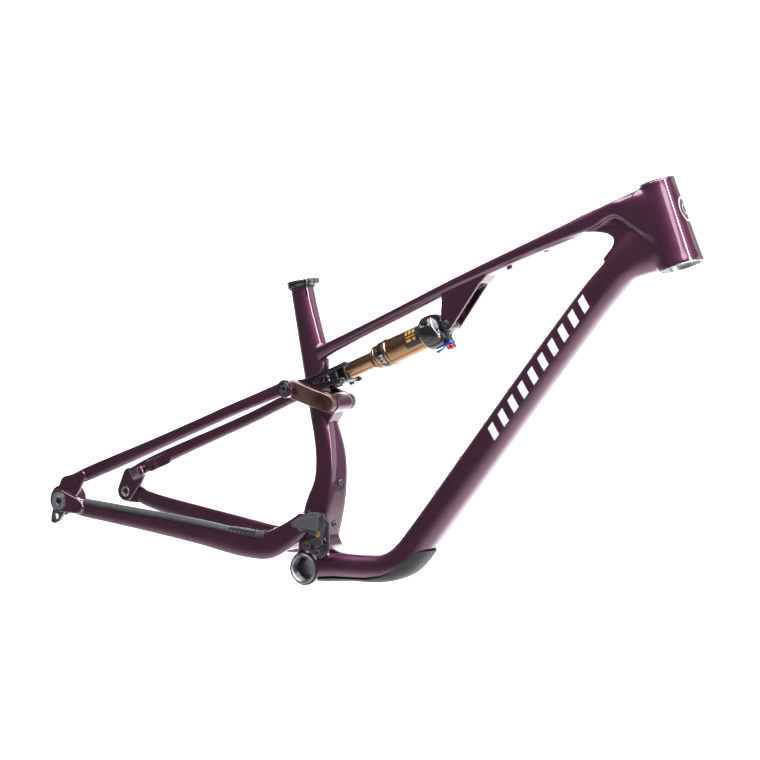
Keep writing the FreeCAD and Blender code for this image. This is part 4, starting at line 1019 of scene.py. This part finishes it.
# ---------------- small pieces
def edged(node, width):
    """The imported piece's own shape with its edges broken, as machining or a mould leaves them."""
    mesh = NODES[node].data.copy()
    ob = bpy.data.objects.new(node + "_piece", mesh)
    bpy.context.scene.collection.objects.link(ob)
    bm = bmesh.new()
    bm.from_mesh(mesh)
    bmesh.ops.remove_doubles(bm, verts=bm.verts, dist=2e-6)
    bmesh.ops.dissolve_limit(bm, angle_limit=math.radians(1.0), verts=bm.verts, edges=bm.edges)
    bm.to_mesh(mesh)
    bm.free()
    bevel(ob, width, 2, 38)
    stand_in(ob, node)


def seat_collar():
    profile = [(-8.6, 17.6), (-8.6, 20.2), (-6.4, 20.4), (-5.8, 21.8), (-3, 22), (-2.6, 21.2), (0.4, 21.2),
               (0.8, 22), (3.4, 21.8), (4, 21.2), (4, 15.9), (0.05, 15.9), (0.05, 17.6)]
    ring = turned("seat_collar", (0, 0, 0), AXIS_Z, rounded(profile, 0.35))
    ears = slab("ears", outline([(28, -0.8, 4.9), (18, -0.8, 4.7)], 14), -8.5, 8.5)
    bevel(ears, 0.7, 3)
    cut(ring, [ears], operation="UNION")
    cut(ring, [slab("c", [(10, -20), (40, -20), (40, 20), (10, 20)], -1, 1),
               cross_rod("c", (25.5, -0.8), 2.6, -20, 20, 48),
               rod("c", (0, 0, 0.05), (0, 0, -1), 17.6, 30)])
    stand_in(on_seat(shade(ring, 30), COLLAR_TURN), "seat_collar")


def pivot_caps():
    """Shouldered stay bolts: a ringed cap with a hexagon socket."""
    profile = [(19.1, 0), (19.1, 4), (46.5, 4), (46.5, 10.1), (49.2, 10.1), (50, 9.3), (50, 8),
               (49.2, 7.6), (49.2, 6.9), (49.9, 6.4), (49.9, 0)]
    caps = []
    for side in (RIGHT, LEFT):
        cap = turned("cap", (STAY[0], 0, STAY[1]), (0, side, 0), rounded(profile, 0.25))
        cut(cap, [hexagon("c", (STAY[0], side * 47.6, STAY[1]), (0, side, 0), 6, 6)])
        caps.append(cap)
    both = join("seatstay_pivot_bolts_piece", caps)
    stand_in(shade(both, 30), "seatstay_pivot_bolts")


def mount_bolt():
    profile = [(-19.4, 0), (-19.4, 5.2), (-15.7, 5.6), (-15.7, 3.95), (15.7, 3.95), (15.7, 5.7), (16.6, 5.7),
               (16.7, 4.9), (18.6, 4.7), (18.9, 4.2), (18.9, 0)]
    bolt = turned("shock_mount_bolt_piece", (EYE[0], 0, EYE[1]), (0, -1, 0), rounded(profile, 0.25))
    cut(bolt, [hexagon("c", (EYE[0], -17, EYE[1]), (0, -1, 0), 4, 6)])
    stand_in(shade(bolt, 30), "shock_mount_bolt")


def bottom_bracket():
    """Sleeve with a chamfered mouth and fine thread turned in from each end; its alloy is painted very dark to stand
    for the shade inside the bore.
    """
    # very dark alloy colour: painted shade for the inside of the bore
    bore_shade_alloy = finish_of("threaded alloy with painted bore shade", (0.085, 0.087, 0.095), (0.14, 0.142, 0.15), 1.0, (0.34, 0.48), 8.0,
                          0.5, 0.02, wear_and_highlight=(0.5, 0.5, 0.52))
    pitch = 1.1
    thread = []
    for k in range(12):
        thread += [(-34.2 + pitch * k, 17.35), (-33.65 + pitch * k, 17.9)]
    inner = thread + [(-20, 17.2), (20, 17.2)] + [(-d, r) for d, r in reversed(thread)]
    sleeve = turned("bottom_bracket_sleeve_piece", (0, 0, 0), AXIS_Y,
                    [(36.5, 19.2), (36.5, 21.6), (35.9, 22.4), (-35.9, 22.4), (-36.5, 21.6), (-36.5, 19.2)] + inner)
    stand_in(sleeve, "bottom_bracket_sleeve", bore_shade_alloy)


def chainstay_guard_pad():
    """Ribbed block moulded on the stay's guard."""
    pieces = []
    for k in range(7):
        x = -127 + 7.2 * k
        z = 39.5 + 1.8 * (x + 127) / 44.0
        rib = slab("rib", outline([(x - 1.2, z - 3.0, 0.8), (x + 1.2, z - 3.0, 0.8), (x + 1.2, z + 2.6, 0.9),
                                   (x - 1.2, z + 2.6, 0.9)]), -38, -52)
        pieces.append(bevel(rib, 0.6, 2))
    block = join("protector_ribs", pieces)
    finish_piece(shade(block), "chainstay_body", "grey_rubber")


SKIN = BVHTree.FromObject(frame_shell, bpy.context.evaluated_depsgraph_get())


FILM_LIFT, FILM_THICKNESS = 0.16, 0.14


def wrapped(name, rows, toward, ring=False):
    """Thin printed film: rows of places dropped on to the frame's skin along one direction."""
    toward = Vector(toward).normalized()
    tops, lows = [], []
    for row in rows:
        for p in row:
            hit, normal, _, _ = SKIN.ray_cast((Vector(p) - toward * 60) * MM, toward)
            tops.append(tuple(hit / MM + normal * FILM_LIFT))
            lows.append(tuple(hit / MM + normal * (FILM_LIFT - FILM_THICKNESS)))
    return film(name, tops + lows, len(rows), len(rows[0]), ring)


def graphics():
    """Plain slanted bars along the down tube, and a plain oval badge on the head tube."""
    white = finish_of("white printed film", (0.78, 0.78, 0.79), (0.88, 0.88, 0.88), 0.0, (0.25, 0.35), 14.0,
                      0.4, 0.003, coat=0.8)
    pale = finish_of("etched silver badge", (0.62, 0.58, 0.60), (0.75, 0.72, 0.73), 0.6, (0.25, 0.35), 5.0,
                     0.4, 0.005)
    ux, uz = -leaning(DOWN_TUBE_ANGLE).x, leaning(DOWN_TUBE_ANGLE).z
    first, pitch, long, high, slant, grid = 46, 25.5, 12.0, 19.0, 0.35, 4
    for side in (RIGHT, LEFT):
        bars = []
        for k in range(10):
            rows = []
            for i in range(grid + 1):
                row = []
                for j in range(grid + 1):
                    up = high * (j / grid - 0.5)
                    along = first + pitch * k + long * i / grid + up * slant
                    row.append((266 + ux * along - uz * up, side * 25, 205 + uz * along + ux * up))
                rows.append(row)
            bars.append(wrapped("bar", rows, (0, -side, 0)))
        marks = join("down_tube_bars_" + side_name(side), bars)
        finish_piece(shade(marks, 30), "front_frame", "machined_alloy", white)
    ahead = Vector((HEAD_UP.z, 0, -HEAD_UP.x))
    middle = HEAD_END_TOP - HEAD_UP * 47 + ahead * 28
    half_width, half_height, around = 10.5, 18, 40
    pieces = []
    for inner, outer in ((0.82, 1.0), (0.30, 0.42)):
        rows = []
        for a in turns(around):
            arm = Vector(AXIS_Y) * (half_width * math.cos(a)) + HEAD_UP * (half_height * math.sin(a))
            rows.append([tuple(middle + arm * (inner + (outer - inner) * j / 2)) for j in range(3)])
        pieces.append(wrapped("badge", rows, -ahead, ring=True))
    badge = join("head_badge", pieces)
    finish_piece(shade(badge, 30), "front_frame", "machined_alloy", pale)


seat_collar()
pivot_caps()
mount_bolt()
bottom_bracket()
chainstay_guard_pad()
graphics()
for node, width in (("headset_seat_upper", 0.3), ("headset_seat_lower", 0.3), ("seat_collar_bolt", 0.3),
                    ("bottle_bolts", 0.3), ("top_tube_bolts", 0.3), ("chain_guide_backplate", 0.5),
                    ("chain_guide_cage", 0.45), ("chain_guide_bolts", 0.3), ("chain_guide_cage_bolt", 0.3),
                    ("main_pivot_caps", 0.4), ("derailleur_hanger", 0.6), ("dropout_sleeve_right", 0.35),
                    ("dropout_sleeve_left", 0.35), ("yoke_bolts", 0.3), ("down_tube_protector", 0.9),
                    ("chainstay_protector", 0.7)):
    edged(node, width)


# ---------------- floor, light and camera
def cyclorama():
    """White floor that sweeps up into a wall behind the frame and beyond its front end."""
    mat = Shader("white studio paper")
    fibre = mat.noise(4.0, 3.0)
    mat.set(Base_Color=mat.ramp(mat.noise(300.0), (0.3, (0.90, 0.90, 0.90)), (0.7, (0.93, 0.93, 0.93))),
            Roughness=mat.range(fibre, 0.75, 0.95), Normal=mat.bump(fibre, 0.2))
    verts, faces = [], []
    floor_z, wall, bend = -1500.0, 3600.0, 1500.0
    section = [(-4200.0, floor_z), (wall - bend, floor_z)]
    for i in range(1, 13):
        a = math.pi / 2 * i / 12
        section.append((wall - bend + bend * math.sin(a), floor_z + bend - bend * math.cos(a)))
    section.append((wall, 5200.0))
    for x in (-6500.0, 6500.0):
        verts += [(x, y, z) for y, z in section]
    n = len(section)
    faces = [(i, i + 1, n + i + 1, n + i) for i in range(n - 1)]
    sweep = add("studio_sweep", verts, faces)
    sweep.data.materials.append(mat.mat)
    sweep.rotation_euler[2] = math.radians(32.6)


def lamp(name, place, aim, size, power, size_y=2.0):
    data = bpy.data.lights.new(name, "AREA")
    data.shape = "RECTANGLE"
    data.size = size
    data.size_y = size_y
    data.energy = power
    ob = bpy.data.objects.new(name, data)
    ob.location = place
    ob.rotation_euler = (Vector(aim) - Vector(place)).to_track_quat("-Z", "Y").to_euler()
    bpy.context.scene.collection.objects.link(ob)


cyclorama()
world = bpy.data.worlds.new("studio")
bpy.context.scene.world = world
world.use_nodes = True
world.node_tree.nodes["Background"].inputs[0].default_value = (0.9, 0.92, 1.0, 1)
world.node_tree.nodes["Background"].inputs[1].default_value = 0.13

lamp("over_soft", (0.2, -0.2, 2.6), (0.0, 0.0, 0.2), 3.0, 45)
lamp("back_wall", (-1.0, 1.8, 1.6), (-1.2, 3.6, 0.4), 3.0, 160)
lamp("back_wall_right", (2.2, 1.0, 1.6), (2.6, 3.2, 0.4), 3.0, 125)
lamp("floor_fill", (0.3, -0.6, 1.8), (0.3, 0.2, -1.5), 3.0, 100)
lamp("side_panel", (2.7, 1.7, 0.9), (0.3, 0.0, 0.35), 2.4, 26, size_y=2.4)
lamp("front_strip", (2.3, -0.55, 1.2), (0.35, 0.0, 0.4), 0.09, 34, size_y=2.2)

camera_data = bpy.data.cameras.new("camera")
camera = bpy.data.objects.new("camera", camera_data)
bpy.context.scene.collection.objects.link(camera)
across = Vector((0.8339, 0.5455, 0.0842)).normalized()
back = Vector((0.5357, -0.8366, 0.1143))
back = (back - across * back.dot(across)).normalized()
turn = Matrix((across, back.cross(across), back)).transposed()
camera.matrix_world = Matrix.Translation((1.8141, -2.6996, 0.6613)) @ turn.to_4x4()
camera_data.sensor_width = 36.0
camera_data.lens = 104.65
camera_data.clip_end = 100.0
bpy.context.scene.camera = camera
bpy.context.scene.view_settings.view_transform = "Standard"
